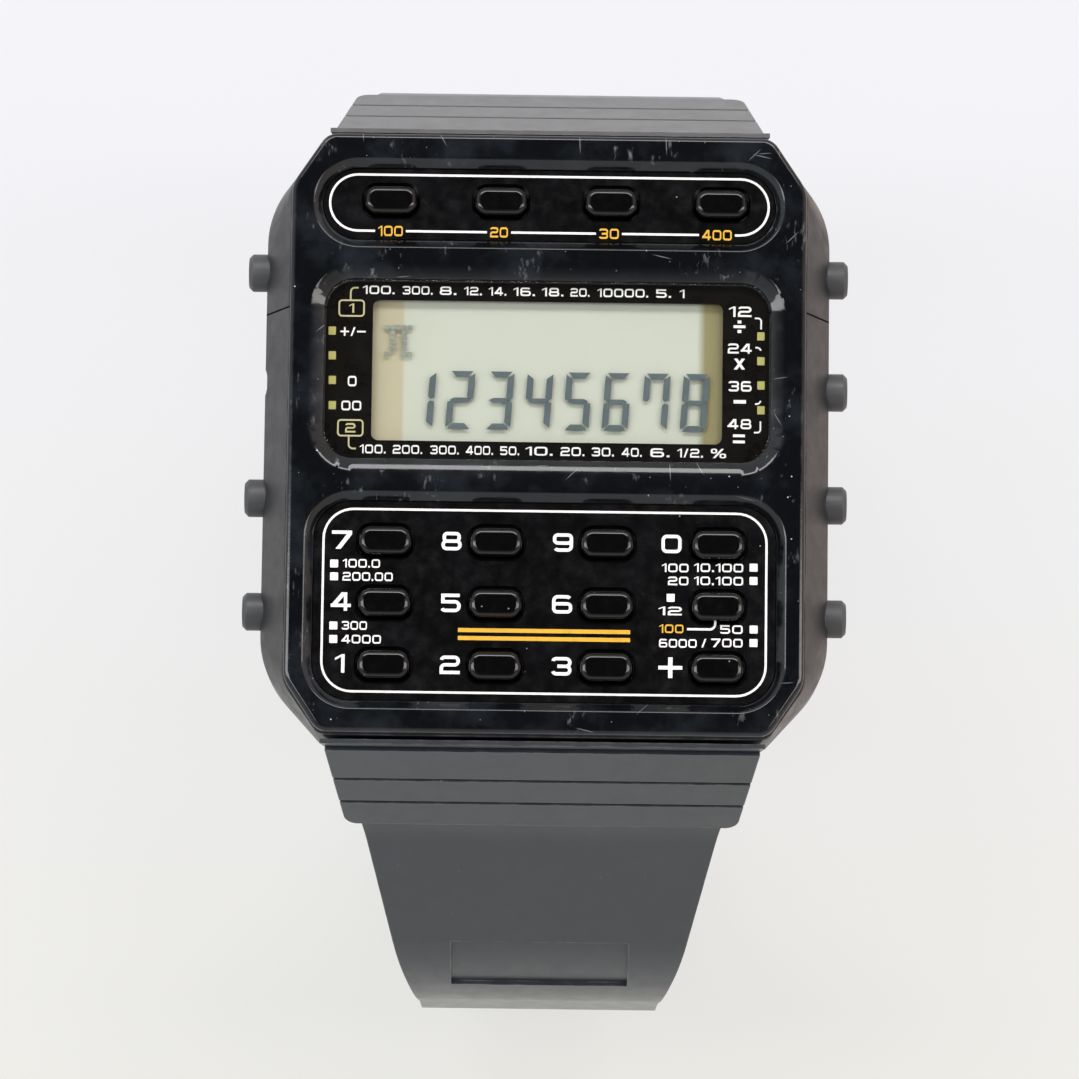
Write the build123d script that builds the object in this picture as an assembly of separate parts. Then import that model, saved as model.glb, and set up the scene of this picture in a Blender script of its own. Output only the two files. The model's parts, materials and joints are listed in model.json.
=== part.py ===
"""Calculator watch: resin case, glossy front with two key fields, side pushers and a resin strap.

+Z comes out of the display, +Y points to 12 o'clock and +X to 3 o'clock.
The origin is the centre of the case back's outer face. Lengths are in millimetres, angles in degrees.
The strap is unbuckled: each half keeps the curve it is moulded in.
"""
import math
import os

from build123d import *

# Shared values
cut_overrun = 1.0
running_gap = 0.05
seat_gap = 0.05
corner_match = 0.01

# Case, a ring with cut corners that is widest at its waist; its length follows from the front
case_width = 35.8
case_corner_x = 3.9
case_corner_y = 4.3
case_side_radius = 6.0
case_end_radius = 1.0
case_waist_low_z = 2.6
case_waist_high_z = 5.4
case_bottom_z = 0.35
case_bottom_inset_x = 1.0
case_bottom_inset_y = 0.1
case_bottom_corner_x = 2.95
case_bottom_corner_y = 3.4
case_top_z = 8.6
case_top_inset_x = 1.55
case_top_inset_y = 0.1
case_top_corner_x = 2.3
case_top_corner_y = 3.3
case_top_side_radius = 2.5
deck_thickness = 1.0

# Hollow of the case for the module
side_wall = 3.1
end_wall = 2.0
cavity_corner_x = 2.8
cavity_corner_y = 3.6

# Glossy front bezel and the bevelled rims of its windows
bezel_inset = 0.1
bezel_corner_x = 2.2
bezel_corner_y = 3.3
bezel_side_radius = 2.2
bezel_end_radius = 1.2
bezel_thickness = 1.2
bezel_edge_radius = 0.35
rim_width = 0.55
rim_depth = 0.55
display_rim_width = 1.0

# Windows and the bars between them, from 12 o'clock down
upper_border = 2.15
upper_window_length = 4.6
upper_bar = 2.5
display_window_length = 11.45
lower_bar = 2.7
keypad_window_length = 12.6
lower_border = 2.0
upper_window_border_x = 1.95
display_window_border_x = 2.2
display_window_radius = 1.9
keypad_window_border_x = 1.75
keypad_window_radius = 2.4

# Plates under the key windows and the ledge openings in the deck below them
plate_thickness = 0.6
plate_ledge = 0.65

# Keys
key_columns = 4
key_shift_x = 0.425
upper_key_lift = 0.2
key_end_room = 3.65
keypad_upper_room = 2.55
keypad_lower_room = 2.25
key_width = 3.25
key_length = 1.75
key_corner_radius = 0.75
key_crown_bevel = 0.22
key_top_z = 9.85
key_gap_x = 0.225
key_gap_y = 0.3
flange_margin = 0.5
flange_corner_cut = 0.6
flange_thickness = 0.6
plunger_width = 1.3
keypad_names = (
    ("key_7", "key_8", "key_9", "key_0"),
    ("key_4", "key_5", "key_6", "key_point"),
    ("key_1", "key_2", "key_3", "key_plus"),
)
upper_key_names = ("key_upper_1", "key_upper_2", "key_upper_3", "key_upper_4")

# Side pushers, four a side, of which the second on the left is flush
pusher_rows = 4
pusher_pitch_share = 0.1893
pusher_z = 4.4
pusher_rise = 1.2
flush_pusher_sink = 0.1
pusher_radius = 1.2
pusher_tip_bevel = 0.25
pusher_seal_depth = 1.15
pusher_bore_depth = 1.85
pusher_bore_gap = 0.1
stem_radius = 0.6
stem_rise = 0.8
clip_width = 2.2
clip_thickness = 0.25
clip_wall_gap = 0.1
flush_pusher = "pusher_left_2"

# Case back, its gasket and screws
back_thickness = 1.0
back_inset_x = 2.15
back_inset_y = 1.05
back_corner_x = 1.45
back_corner_y = 1.85
back_corner_radius = 0.6
back_edge_chamfer = 0.25
gasket_inset = 0.25
gasket_width = 0.55
gasket_height = 0.5
back_screw_inset_x = 1.15
back_screw_inset_y = 1.8
back_screw_head_radius = 0.85
back_screw_head_height = 0.4
back_screw_radius = 0.5
back_screw_length = 3.4

# Module
pusher_room = 1.8
module_end_gap = 0.3
module_frame_bottom_z = 1.6
board_bottom_z = 4.9
board_thickness = 0.6
board_edge_gap = 0.1
module_lip_width = 0.6
cell_side_room = 1.75
cell_height = 2.6
cell_step = 0.85
cell_step_height = 0.5
cell_spacing = 1.1
cell_end_room = 4.15
cell_gap = 0.15
cell_bottom_z = 1.65
chip_size = 7.6
chip_height = 0.9
chip_shift_y = -2.4
chip_window_gap = 0.4
chip_edge_bevel = 0.25
quartz_radius = 0.75
quartz_length = 5.0
quartz_side_room = 3.6
quartz_shift_y = -0.7
quartz_slot_gap = 0.25

# Battery clamp and its screws
clamp_side_room = 2.0
clamp_length = 5.2
clamp_thickness = 0.2
clamp_tab_width = 5.2
clamp_tab_length = 12.6
clamp_corner_radius = 0.6
clamp_screw_y = 5.2
clamp_screw_radius = 0.5
clamp_screw_head_radius = 0.85
clamp_screw_head_height = 0.25
clamp_screw_length = 2.2

# Sounder on the case back and its leaf contact
buzzer_radius = 6.5
buzzer_thickness = 0.12
ceramic_radius = 4.8
ceramic_thickness = 0.1
buzzer_end_room = 3.1
buzzer_contact_x = -5.6
buzzer_contact_width = 1.2
buzzer_contact_reach = 3.0
buzzer_contact_thickness = 0.15
buzzer_slot_gap = 0.3

# Display stack
lcd_side_gap = 1.85
lcd_end_gap = 0.125
lcd_glass_thickness = 0.5
lcd_ledge = 0.8
lcd_bottom_z = 7.0
lcd_pocket_depth = 0.5
lcd_pocket_gap = 0.1
lcd_view_border_x = 0.9
lcd_view_border_y = 0.85
holder_wall = 0.6
holder_gap = 0.1
holder_top_z = 7.5
guide_inset_x = 1.4
guide_inset_y = 1.3
guide_bottom_z = 5.7
guide_top_z = 6.9
zebra_width = 0.9
zebra_end_gap = 1.2
zebra_inset = 0.15
lamp_radius = 0.45
lamp_length = 2.6
lamp_gap = 0.35

# Rubber membranes with a dome under each key
membrane_thickness = 0.4
membrane_side = 0.275
dome_width = 2.8
dome_length = 2.2
dome_taper = 28.0
dome_top_z = 7.0

# Side contact leaves
leaf_thickness = 0.15
leaf_height = 1.8
leaf_end_reach = 2.3
leaf_bump_half_length = 2.2
leaf_stem_gap = 0.15
leaf_frame_gap = 0.03

# Lugs and spring bars
bar_reach = 1.1
bar_z = 1.9
bar_radius = 0.75
bar_gap = 0.05
bar_pivot_radius = 0.4
bar_pivot_length = 1.6
bar_shoulder_gap = 0.2
barrel_radius = 1.3
barrel_recess_gap = 0.25
lug_side_wall = 0.5
lug_thickness = 2.6
lug_radius = 1.1
lug_gap = 0.2
lug_swing_room = 0.6

# Ribbed shoulder of each strap half, seen from the side
shoulder_wall_gap = 0.12
lip_drop = 0.3
lip_thickness = 0.3
lip_sink = 0.15
rib_start_reach = 0.55
rib_start_z = 6.85
shoulder_slope = 62.0
shoulder_back_step = 0.05
rib_lengths = (3.1, 2.3, 2.4)
rib_groove_width = 0.28
rib_groove_depth = 0.5
shoulder_overhang = 0.1
shoulder_taper = 1.6
shoulder_corner_radius = 0.9
tongue_gap = 0.2

# Narrow strap
strap_thickness = 2.4
strap_sink = 0.25
strap_step = 0.55
strap_end_width = 16.0
strap_taper_end_z = -17.0
strap_taper_radius = 40.0
strap_outline_end_z = -80.0
strap_outline_reach = 80.0
strap_root_overlap = 1.6

# Route of each half after its shoulder: straight lengths, bend radii and angles
flare_radius = 10.0
strap_6_flare_angle = 12.0
strap_6_first_straight = 9.2
strap_6_bulge_radius = 14.0
strap_6_bulge_angle = 40.0
strap_6_drop = 9.3
strap_6_turn_radius = 24.0
strap_6_tail_length = 29.0
strap_6_tip_radius = 6.5
strap_12_flare_angle = -20.0
strap_12_drop = 17.0
strap_12_turn_radius = 16.0
strap_12_tail_length = 13.0

# Recess near the bulge and the adjusting holes in the tail
recess_width = 11.6
recess_depth = 0.3
recess_angle = 21.0
hole_radius = 1.2
hole_pitch = 6.0
hole_tip_distance = 9.0
tail_holes = 4
turn_holes = 3

# Buckle, its pin and the two keepers
pin_radius = 0.75
pin_head_gap = 0.05
buckle_eye_radius = 1.45
buckle_gap = 0.35
buckle_arm_width = 1.7
buckle_arm_thickness = 1.7
buckle_bar_length = 1.9
buckle_length = 10.4
buckle_corner_radius = 1.4
buckle_edge_bevel = 0.3
buckle_notch_depth = 0.3
buckle_tongue_width = 1.8
buckle_tongue_thickness = 0.8
buckle_tongue_gap = 0.15
buckle_tongue_reach = 0.5
buckle_slot_length = 4.0
keeper_wall = 1.2
keeper_length = 3.2
keeper_side_gap = 0.3
keeper_strap_gap = 0.05
keeper_room = 2.5
keeper_corner_radius = 0.3
fixed_keeper_offset = 3.9
free_keeper_offset = 8.0

# Heights that follow from the sizes above
deck_bottom_z = case_top_z - deck_thickness
bezel_top_z = case_top_z + bezel_thickness
plate_top_z = case_top_z + plate_thickness
board_top_z = board_bottom_z + board_thickness
flange_top_z = case_top_z - seat_gap
flange_bottom_z = flange_top_z - flange_thickness
lip_top_z = case_top_z - lip_drop

# Front, case and back that follow from the windows and the case's width
windows_length = upper_window_length + display_window_length + keypad_window_length
bezel_length = upper_border + upper_bar + windows_length + lower_bar + lower_border
case_top_length = bezel_length + bezel_inset * 2
case_length = case_top_length + case_top_inset_y * 2
case_end_width = case_width - case_corner_x * 2
case_bottom_width = case_width - case_bottom_inset_x * 2
case_bottom_length = case_length - case_bottom_inset_y * 2
case_top_width = case_width - case_top_inset_x * 2
bezel_width = case_top_width - bezel_inset * 2
cavity_width = case_width - side_wall * 2
cavity_length = case_length - end_wall * 2
back_width = case_width - back_inset_x * 2
back_length = case_length - back_inset_y * 2
back_screw_x = back_width / 2 - back_screw_inset_x
back_screw_y = back_length / 2 - back_screw_inset_y
upper_window_width = bezel_width - upper_window_border_x * 2
display_window_width = bezel_width - display_window_border_x * 2
keypad_window_width = bezel_width - keypad_window_border_x * 2
upper_window_y = bezel_length / 2 - upper_border - upper_window_length / 2
display_window_y = upper_window_y - upper_window_length / 2 - upper_bar - display_window_length / 2
keypad_window_y = -bezel_length / 2 + lower_border + keypad_window_length / 2

# Keys and pushers that follow from them
keypad_rows = len(keypad_names)
key_last_x = keypad_window_width / 2 - key_end_room
key_first_x = key_shift_x * 2 - key_last_x
key_pitch_x = (key_last_x - key_first_x) / (key_columns - 1)
keypad_first_y = keypad_window_y + keypad_window_length / 2 - keypad_upper_room
keypad_last_y = keypad_window_y - keypad_window_length / 2 + keypad_lower_room
keypad_pitch_y = (keypad_first_y - keypad_last_y) / (keypad_rows - 1)
upper_key_y = upper_window_y + upper_key_lift
membrane_width = key_pitch_x * (key_columns - 1) + dome_width + membrane_side * 2
upper_membrane_length = upper_window_length - plate_ledge * 2
keypad_membrane_length = keypad_window_length - plate_ledge * 2
pusher_pitch = case_length * pusher_pitch_share
pusher_tip_x = case_width / 2 + pusher_rise
flush_tip_x = case_width / 2 - flush_pusher_sink
pusher_seal_x = case_width / 2 - pusher_seal_depth
pusher_bore_floor_x = case_width / 2 - pusher_bore_depth
stem_end_x = cavity_width / 2 - stem_rise
leaf_bump_top_x = stem_end_x - leaf_stem_gap
leaf_end_y = pusher_pitch * (pusher_rows - 1) / 2 + leaf_end_reach

# Module and display that follow from them
module_width = cavity_width - pusher_room * 2
cell_radius = module_width / 4 - cell_side_room
cell_step_radius = cell_radius - cell_step
cell_x = cell_radius + cell_spacing / 2
cell_y = -cavity_length / 2 + cell_end_room + cell_radius
buzzer_y = cavity_length / 2 - buzzer_end_room - buzzer_radius
chip_y = buzzer_y + chip_shift_y
quartz_x = module_width / 2 - quartz_side_room
quartz_y = chip_y + quartz_shift_y
clamp_width = module_width - clamp_side_room * 2
lcd_width = display_window_width - lcd_side_gap * 2
lcd_length = display_window_length - lcd_end_gap * 2
lcd_view_width = lcd_width - lcd_view_border_x * 2
lcd_view_length = lcd_length - lcd_view_border_y * 2
holder_width = lcd_width + (holder_gap + holder_wall) * 2
holder_length = lcd_length + (holder_gap + holder_wall) * 2
guide_width = lcd_width - guide_inset_x * 2
guide_length = lcd_length - guide_inset_y * 2
zebra_length = lcd_width - zebra_end_gap * 2
lamp_x = -guide_width / 2 - lamp_gap - lamp_radius

# Spring bars, lugs and shoulders that follow from the case
bar_y = case_length / 2 + bar_reach
shoulder_wall_y = case_length / 2 + shoulder_wall_gap
rib_start_y = case_length / 2 + rib_start_reach
shoulder_top_width = case_end_width + shoulder_overhang * 2
shoulder_end_width = shoulder_top_width - shoulder_taper * 2
shoulder_length = sum(rib_lengths) + rib_groove_width * len(rib_lengths)
shoulder_thickness = strap_sink + strap_thickness + shoulder_back_step
lug_inner_x = shoulder_end_width / 2 - lug_side_wall - lug_thickness
strap_start_width = shoulder_end_width - strap_step * 2
strap_6_turn_angle = 180 - shoulder_slope + strap_6_flare_angle - strap_6_bulge_angle
strap_12_turn_angle = 180 - shoulder_slope + strap_12_flare_angle


def cut_corner_outline(width, length, corner_x, corner_y, side_radius=0, end_radius=0):
    """Rectangle whose corners are cut straight, rounded where the cuts meet the sides and the ends."""
    points = []
    end_width = width - corner_x * 2
    for side_x, end_y in ((1, 1), (-1, 1), (-1, -1), (1, -1)):
        on_side = (side_x * width / 2, end_y * (length / 2 - corner_y))
        on_end = (side_x * end_width / 2, end_y * length / 2)
        points += [on_side, on_end] if side_x == end_y else [on_end, on_side]
    outline = make_face(Polyline(*points, close=True))
    if side_radius:
        outline = round_corners(outline, width, side_radius)
        outline = round_corners(outline, end_width, end_radius)
    return outline


def round_corners(outline, width, radius):
    """Round those corners of an outline that lie at half the given width from its middle."""
    corners = [v for v in outline.vertices() if abs(abs(v.X) - width / 2) < corner_match]
    return fillet(corners, radius)


def cavity_outline(inset=0.0):
    outline = cut_corner_outline(cavity_width, cavity_length, cavity_corner_x, cavity_corner_y)
    return offset(outline, -inset, kind=Kind.INTERSECTION) if inset else outline


def module_outline(inset=0.0):
    """Outline of the module: the cavity at the ends and corners, narrower at the sides."""
    sides = Rectangle(module_width - inset * 2, cavity_length)
    return cavity_outline(module_end_gap + inset) & sides


def slab(outline, bottom_z, top_z):
    """Extrude a flat outline between two heights."""
    return extrude(Pos(0, 0, bottom_z) * outline, top_z - bottom_z)


def cylinder_between(radius, start, end):
    """Round bar between two points."""
    along = Vector(*end) - Vector(*start)
    base = Plane(origin=start, z_dir=along)
    return extrude(base * Circle(radius), along.length)


def key_places():
    """Name and centre of each of the sixteen keys."""
    places = {}
    for column in range(key_columns):
        x = key_first_x + column * key_pitch_x
        places[upper_key_names[column]] = (x, upper_key_y)
        for row in range(keypad_rows):
            places[keypad_names[row][column]] = (x, keypad_first_y - row * keypad_pitch_y)
    return places


def pusher_places():
    """Name, side (+1 right, -1 left), height along the case and tip of each pusher."""
    places = []
    for side, label in ((1, "right"), (-1, "left")):
        for row in range(pusher_rows):
            y = pusher_pitch * ((pusher_rows - 1) / 2 - row)
            name = f"pusher_{label}_{row + 1}"
            tip = flush_tip_x if name == flush_pusher else pusher_tip_x
            places.append((name, side, y, tip))
    return places


def window_outline(width, length, radius, y, inset=0.0):
    outline = RectangleRounded(width - inset * 2, length - inset * 2, radius - inset)
    return Pos(0, y) * outline


def window_outlines(inset=0.0):
    """The upper key window, the display window and the keypad window."""
    upper_radius = upper_window_length / 2 - corner_match
    return (
        window_outline(upper_window_width, upper_window_length, upper_radius, upper_window_y, inset),
        window_outline(display_window_width, display_window_length, display_window_radius,
                       display_window_y, inset),
        window_outline(keypad_window_width, keypad_window_length, keypad_window_radius,
                       keypad_window_y, inset),
    )


def case_shell():
    """Outer form of the case, ruled between its bottom, its waist and its deck."""
    waist = cut_corner_outline(case_width, case_length, case_corner_x, case_corner_y,
                               case_side_radius, case_end_radius)
    bottom = cut_corner_outline(case_bottom_width, case_bottom_length, case_bottom_corner_x,
                                case_bottom_corner_y, case_side_radius, case_end_radius)
    top = cut_corner_outline(case_top_width, case_top_length, case_top_corner_x, case_top_corner_y,
                             case_top_side_radius, case_end_radius)
    sections = [
        Pos(0, 0, case_bottom_z) * bottom,
        Pos(0, 0, case_waist_low_z) * waist,
        Pos(0, 0, case_waist_high_z) * waist,
        Pos(0, 0, case_top_z) * top,
    ]
    return loft(sections, ruled=True)


def lugs():
    """Four lugs that carry the spring bars, without their holes."""
    eye = Circle(lug_radius)
    arm = Pos(-lug_radius, 0) * Rectangle(lug_radius * 2, lug_radius * 2)
    profile = Plane(origin=(lug_inner_x, bar_y, bar_z), x_dir=(0, 1, 0), z_dir=(1, 0, 0)) * (eye + arm)
    lug = extrude(profile, lug_thickness)
    pair = lug + mirror(lug, Plane.YZ)
    return pair + mirror(pair, Plane.XZ)


def barrel_recesses():
    """Scoops in the end walls that the strap barrels turn in."""
    reach = lug_inner_x
    scoop = cylinder_between(barrel_radius + barrel_recess_gap, (-reach, bar_y, bar_z), (reach, bar_y, bar_z))
    return scoop + mirror(scoop, Plane.XZ)


def bar_holes():
    reach = lug_inner_x + bar_pivot_length
    hole = cylinder_between(bar_pivot_radius + bar_gap, (-reach, bar_y, bar_z), (reach, bar_y, bar_z))
    return hole + mirror(hole, Plane.XZ)


def pusher_bores():
    """Stepped bores through both flanks, wide outside for the heads, narrow inside."""
    bores = []
    for _, side, y, _ in pusher_places():
        inner = (side * (cavity_width / 2 - cut_overrun), y, pusher_z)
        floor = (side * pusher_bore_floor_x, y, pusher_z)
        outer = (side * (case_width / 2 + cut_overrun), y, pusher_z)
        bores.append(cylinder_between(stem_radius + running_gap, inner, floor))
        bores.append(cylinder_between(pusher_radius + pusher_bore_gap, floor, outer))
    return bores


def back_outline(gap=0.0):
    return cut_corner_outline(back_width + gap * 2, back_length + gap * 2, back_corner_x + gap,
                              back_corner_y + gap, back_corner_radius, back_corner_radius)


def back_screw_places():
    return [(x * back_screw_x, y * back_screw_y) for x in (1, -1) for y in (1, -1)]


def gasket_outline():
    return cavity_outline(-gasket_inset - gasket_width) - cavity_outline(-gasket_inset)


def case_middle():
    body = case_shell() + lugs()
    body -= slab(cavity_outline(), case_bottom_z - cut_overrun, deck_bottom_z)
    body -= slab(back_outline(seat_gap), case_bottom_z - cut_overrun, back_thickness)
    body -= slab(gasket_outline(), back_thickness - cut_overrun, back_thickness + gasket_height)
    upper, display, keypad = window_outlines(plate_ledge)
    view = Pos(0, display_window_y) * Rectangle(lcd_view_width, lcd_view_length)
    for opening in (upper, view, keypad):
        body -= slab(opening, deck_bottom_z - cut_overrun, case_top_z + cut_overrun)
    pocket = Pos(0, display_window_y) * Rectangle(lcd_width + lcd_pocket_gap * 2, lcd_length + lcd_pocket_gap * 2)
    body -= slab(pocket, deck_bottom_z - cut_overrun, deck_bottom_z + lcd_pocket_depth)
    for bore in pusher_bores():
        body -= bore
    for x, y in back_screw_places():
        start = (x, y, 0)
        end = (x, y, back_screw_length + cut_overrun)
        body -= cylinder_between(back_screw_radius + seat_gap, start, end)
    return body - barrel_recesses() - bar_holes()


def front_bezel():
    outline = cut_corner_outline(bezel_width, bezel_length, bezel_corner_x, bezel_corner_y,
                                 bezel_side_radius, bezel_end_radius)
    plate = slab(outline, case_top_z, bezel_top_z)
    plate = fillet(plate.faces().sort_by(Axis.Z)[-1].edges(), bezel_edge_radius)
    for window, rim in zip(window_outlines(), (rim_width, display_rim_width, rim_width)):
        plate -= slab(window, case_top_z - cut_overrun, bezel_top_z + cut_overrun)
        taper = math.degrees(math.atan(rim / rim_depth))
        plate -= extrude(Pos(0, 0, bezel_top_z - rim_depth) * window, rim_depth, taper=-taper)
    return plate


def key_hole_outline(x, y, margin_x, margin_y):
    """Rounded outline around a key's cap."""
    radius = key_corner_radius + min(margin_x, margin_y)
    return Pos(x, y) * RectangleRounded(key_width + margin_x * 2, key_length + margin_y * 2, radius)


def key_plate(window, row_ys):
    """Plate that fills a key window, with a hole for each key."""
    plate = slab(window, case_top_z, plate_top_z)
    for x, y in key_places().values():
        if y in row_ys:
            hole = key_hole_outline(x, y, key_gap_x, key_gap_y)
            plate -= slab(hole, case_top_z - cut_overrun, plate_top_z + cut_overrun)
    return plate


def key(x, y):
    """Key: a crowned cap, a flange that holds it under the plate, and the plunger on its dome."""
    cap = slab(key_hole_outline(x, y, 0, 0), flange_bottom_z, key_top_z)
    cap = chamfer(cap.faces().sort_by(Axis.Z)[-1].edges(), key_crown_bevel)
    flange_outline = Rectangle(key_width + flange_margin * 2, key_length + flange_margin * 2)
    flange_outline = chamfer(flange_outline.vertices(), flange_corner_cut)
    flange = slab(Pos(x, y) * flange_outline, flange_bottom_z, flange_top_z)
    plunger = slab(Pos(x, y) * Rectangle(plunger_width, plunger_width), dome_top_z + running_gap, flange_bottom_z)
    return cap + flange + plunger


def membrane(y, length, row_ys):
    """Rubber sheet on the board with a tapered dome under each key."""
    sheet = Pos(0, y) * Rectangle(membrane_width, length)
    sheet_top_z = board_top_z + membrane_thickness
    rubber = slab(sheet & module_outline(module_lip_width + board_edge_gap), board_top_z, sheet_top_z)
    for x, row_y in key_places().values():
        if row_y in row_ys:
            base = Pos(x, row_y, sheet_top_z) * Rectangle(dome_width, dome_length)
            rubber += extrude(base, dome_top_z - sheet_top_z, taper=dome_taper)
    return rubber


def pusher(side, y, tip_x):
    """Side pusher: head that ends in its seal, stem through the flank and the clip that keeps it in."""
    head = cylinder_between(pusher_radius, (pusher_seal_x, y, pusher_z), (tip_x, y, pusher_z))
    head = chamfer(head.faces().sort_by(Axis.X)[-1].edges(), pusher_tip_bevel)
    stem = cylinder_between(stem_radius, (stem_end_x, y, pusher_z), (pusher_seal_x, y, pusher_z))
    clip_x = cavity_width / 2 - clip_wall_gap - clip_thickness / 2
    clip = Pos(clip_x, y, pusher_z) * Box(clip_thickness, clip_width, clip_width)
    button = head + stem + clip
    return button if side > 0 else mirror(button, Plane.YZ)


def side_contacts(side):
    """Leaf with a sprung bump behind each pusher of one flank."""
    base_x = module_width / 2 + leaf_frame_gap + leaf_thickness / 2
    peak_x = leaf_bump_top_x - leaf_thickness / 2
    points = [(base_x, -leaf_end_y)]
    for y in sorted(place[2] for place in pusher_places() if place[1] == side):
        points += [(base_x, y - leaf_bump_half_length), (peak_x, y), (base_x, y + leaf_bump_half_length)]
    points.append((base_x, leaf_end_y))
    strip = trace(Polyline(*points), leaf_thickness)
    leaf = slab(strip, pusher_z - leaf_height / 2, pusher_z + leaf_height / 2)
    return leaf if side > 0 else mirror(leaf, Plane.YZ)


def display_crystal():
    """Window over the display, seated on the deck inside the bezel."""
    return slab(window_outlines(seat_gap)[1], case_top_z, plate_top_z)


def lcd_cell():
    """Two glass plates; the lower one stands out at both long edges for its contacts."""
    lower = Pos(0, display_window_y) * Rectangle(lcd_width, lcd_length)
    upper = Pos(0, display_window_y) * Rectangle(lcd_width, lcd_length - lcd_ledge * 2)
    middle_z = lcd_bottom_z + lcd_glass_thickness
    return slab(lower, lcd_bottom_z, middle_z) + slab(upper, middle_z, middle_z + lcd_glass_thickness)


def display_holder():
    """Frame that stands on the board and carries the display's edges."""
    outer = Pos(0, display_window_y) * Rectangle(holder_width, holder_length)
    inner = Pos(0, display_window_y) * Rectangle(lcd_width + holder_gap * 2, lcd_length + holder_gap * 2)
    ring = slab(outer - inner, board_top_z, holder_top_z)
    shelf_outer = Pos(0, display_window_y) * Rectangle(lcd_width + holder_gap * 2, guide_length)
    shelf_inner = Pos(0, display_window_y) * Rectangle(guide_width + holder_gap * 2, guide_length)
    shelf = slab(shelf_outer - shelf_inner, guide_top_z - holder_gap, lcd_bottom_z)
    return ring + shelf


def light_guide():
    """Clear block with a roughened underside and a bevel towards the lamp."""
    block = slab(Pos(0, display_window_y) * Rectangle(guide_width, guide_length), guide_bottom_z, guide_top_z)
    lamp_side = block.faces().sort_by(Axis.X)[0]
    return chamfer(lamp_side.edges().sort_by(Axis.Z)[0], lamp_radius)


def zebra_connectors():
    """Two rubber contact strips between the board and the display's edges."""
    reach = lcd_length / 2 - zebra_inset - zebra_width / 2
    strips = []
    for end in (1, -1):
        outline = Pos(0, display_window_y + end * reach) * Rectangle(zebra_length, zebra_width)
        strips.append(slab(outline, board_top_z, lcd_bottom_z))
    return Compound(children=strips)


def lamp_bulb():
    y = display_window_y
    z = board_top_z + lamp_radius
    return cylinder_between(lamp_radius, (lamp_x, y - lamp_length / 2, z), (lamp_x, y + lamp_length / 2, z))


def cell_places():
    return [(cell_x, cell_y), (-cell_x, cell_y)]


def module_frame():
    """Moulded block with the cell pockets, the chip window and a lip around the board."""
    block = slab(module_outline(), module_frame_bottom_z, board_bottom_z)
    rim = module_outline() - module_outline(module_lip_width)
    block += slab(rim, board_bottom_z, board_top_z)
    for x, y in cell_places():
        pocket = Pos(x, y) * Circle(cell_radius + cell_gap)
        block -= slab(pocket, module_frame_bottom_z - cut_overrun, cell_bottom_z + cell_height)
    window_size = chip_size + chip_window_gap * 2
    window = Pos(0, chip_y) * Rectangle(window_size, window_size)
    slot = Pos(quartz_x, quartz_y) * Rectangle(
        (quartz_radius + quartz_slot_gap) * 2, quartz_length + quartz_slot_gap * 2)
    contact_slot = Pos(buzzer_contact_x, buzzer_y) * Rectangle(
        buzzer_contact_width + buzzer_slot_gap * 2, buzzer_contact_reach + buzzer_slot_gap * 2)
    for opening in (window, slot, contact_slot):
        block -= slab(opening, module_frame_bottom_z - cut_overrun, board_bottom_z + cut_overrun)
    for x, y in clamp_screw_places():
        hole = Pos(x, y) * Circle(clamp_screw_radius + seat_gap)
        block -= slab(hole, module_frame_bottom_z - cut_overrun, module_frame_bottom_z + clamp_screw_length)
    return block


def circuit_board():
    outline = module_outline(module_lip_width + board_edge_gap)
    return slab(outline, board_bottom_z, board_top_z)


def main_chip():
    """Flat package under the board, in the frame's window."""
    chip = slab(Pos(0, chip_y) * Rectangle(chip_size, chip_size), board_bottom_z - chip_height, board_bottom_z)
    return chamfer(chip.faces().sort_by(Axis.Z)[0].edges(), chip_edge_bevel)


def quartz_can():
    z = board_bottom_z - quartz_radius
    half = quartz_length / 2
    return cylinder_between(quartz_radius, (quartz_x, quartz_y - half, z), (quartz_x, quartz_y + half, z))


def battery_cells():
    """Two button cells with their stepped negative caps downwards."""
    cells = []
    for x, y in cell_places():
        step_z = cell_bottom_z + cell_step_height
        can = slab(Pos(x, y) * Circle(cell_radius), step_z, cell_bottom_z + cell_height)
        cap = slab(Pos(x, y) * Circle(cell_step_radius), cell_bottom_z, step_z)
        cells.append(can + cap)
    return Compound(children=cells)


def clamp_screw_places():
    return [(0, cell_y + clamp_screw_y), (0, cell_y - clamp_screw_y)]


def battery_clamp():
    """Sprung steel plate across both cells, with a tab for each screw."""
    bridge = RectangleRounded(clamp_width, clamp_length, clamp_corner_radius)
    tabs = RectangleRounded(clamp_tab_width, clamp_tab_length, clamp_corner_radius)
    outline = Pos(0, cell_y) * (bridge + tabs)
    for x, y in clamp_screw_places():
        outline -= Pos(x, y) * Circle(clamp_screw_radius + seat_gap)
    return slab(outline, module_frame_bottom_z - clamp_thickness, module_frame_bottom_z)


def screw(x, y, head_bottom_z, head_radius, head_height, radius, length):
    """Screw that points up, with a flat head below."""
    head_top_z = head_bottom_z + head_height
    head = slab(Pos(x, y) * Circle(head_radius), head_bottom_z, head_top_z)
    return head + slab(Pos(x, y) * Circle(radius), head_top_z, head_bottom_z + length)


def clamp_screws():
    head_bottom_z = module_frame_bottom_z - clamp_thickness - clamp_screw_head_height
    screws = [screw(x, y, head_bottom_z, clamp_screw_head_radius, clamp_screw_head_height,
                    clamp_screw_radius, clamp_screw_length) for x, y in clamp_screw_places()]
    return Compound(children=screws)


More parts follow.
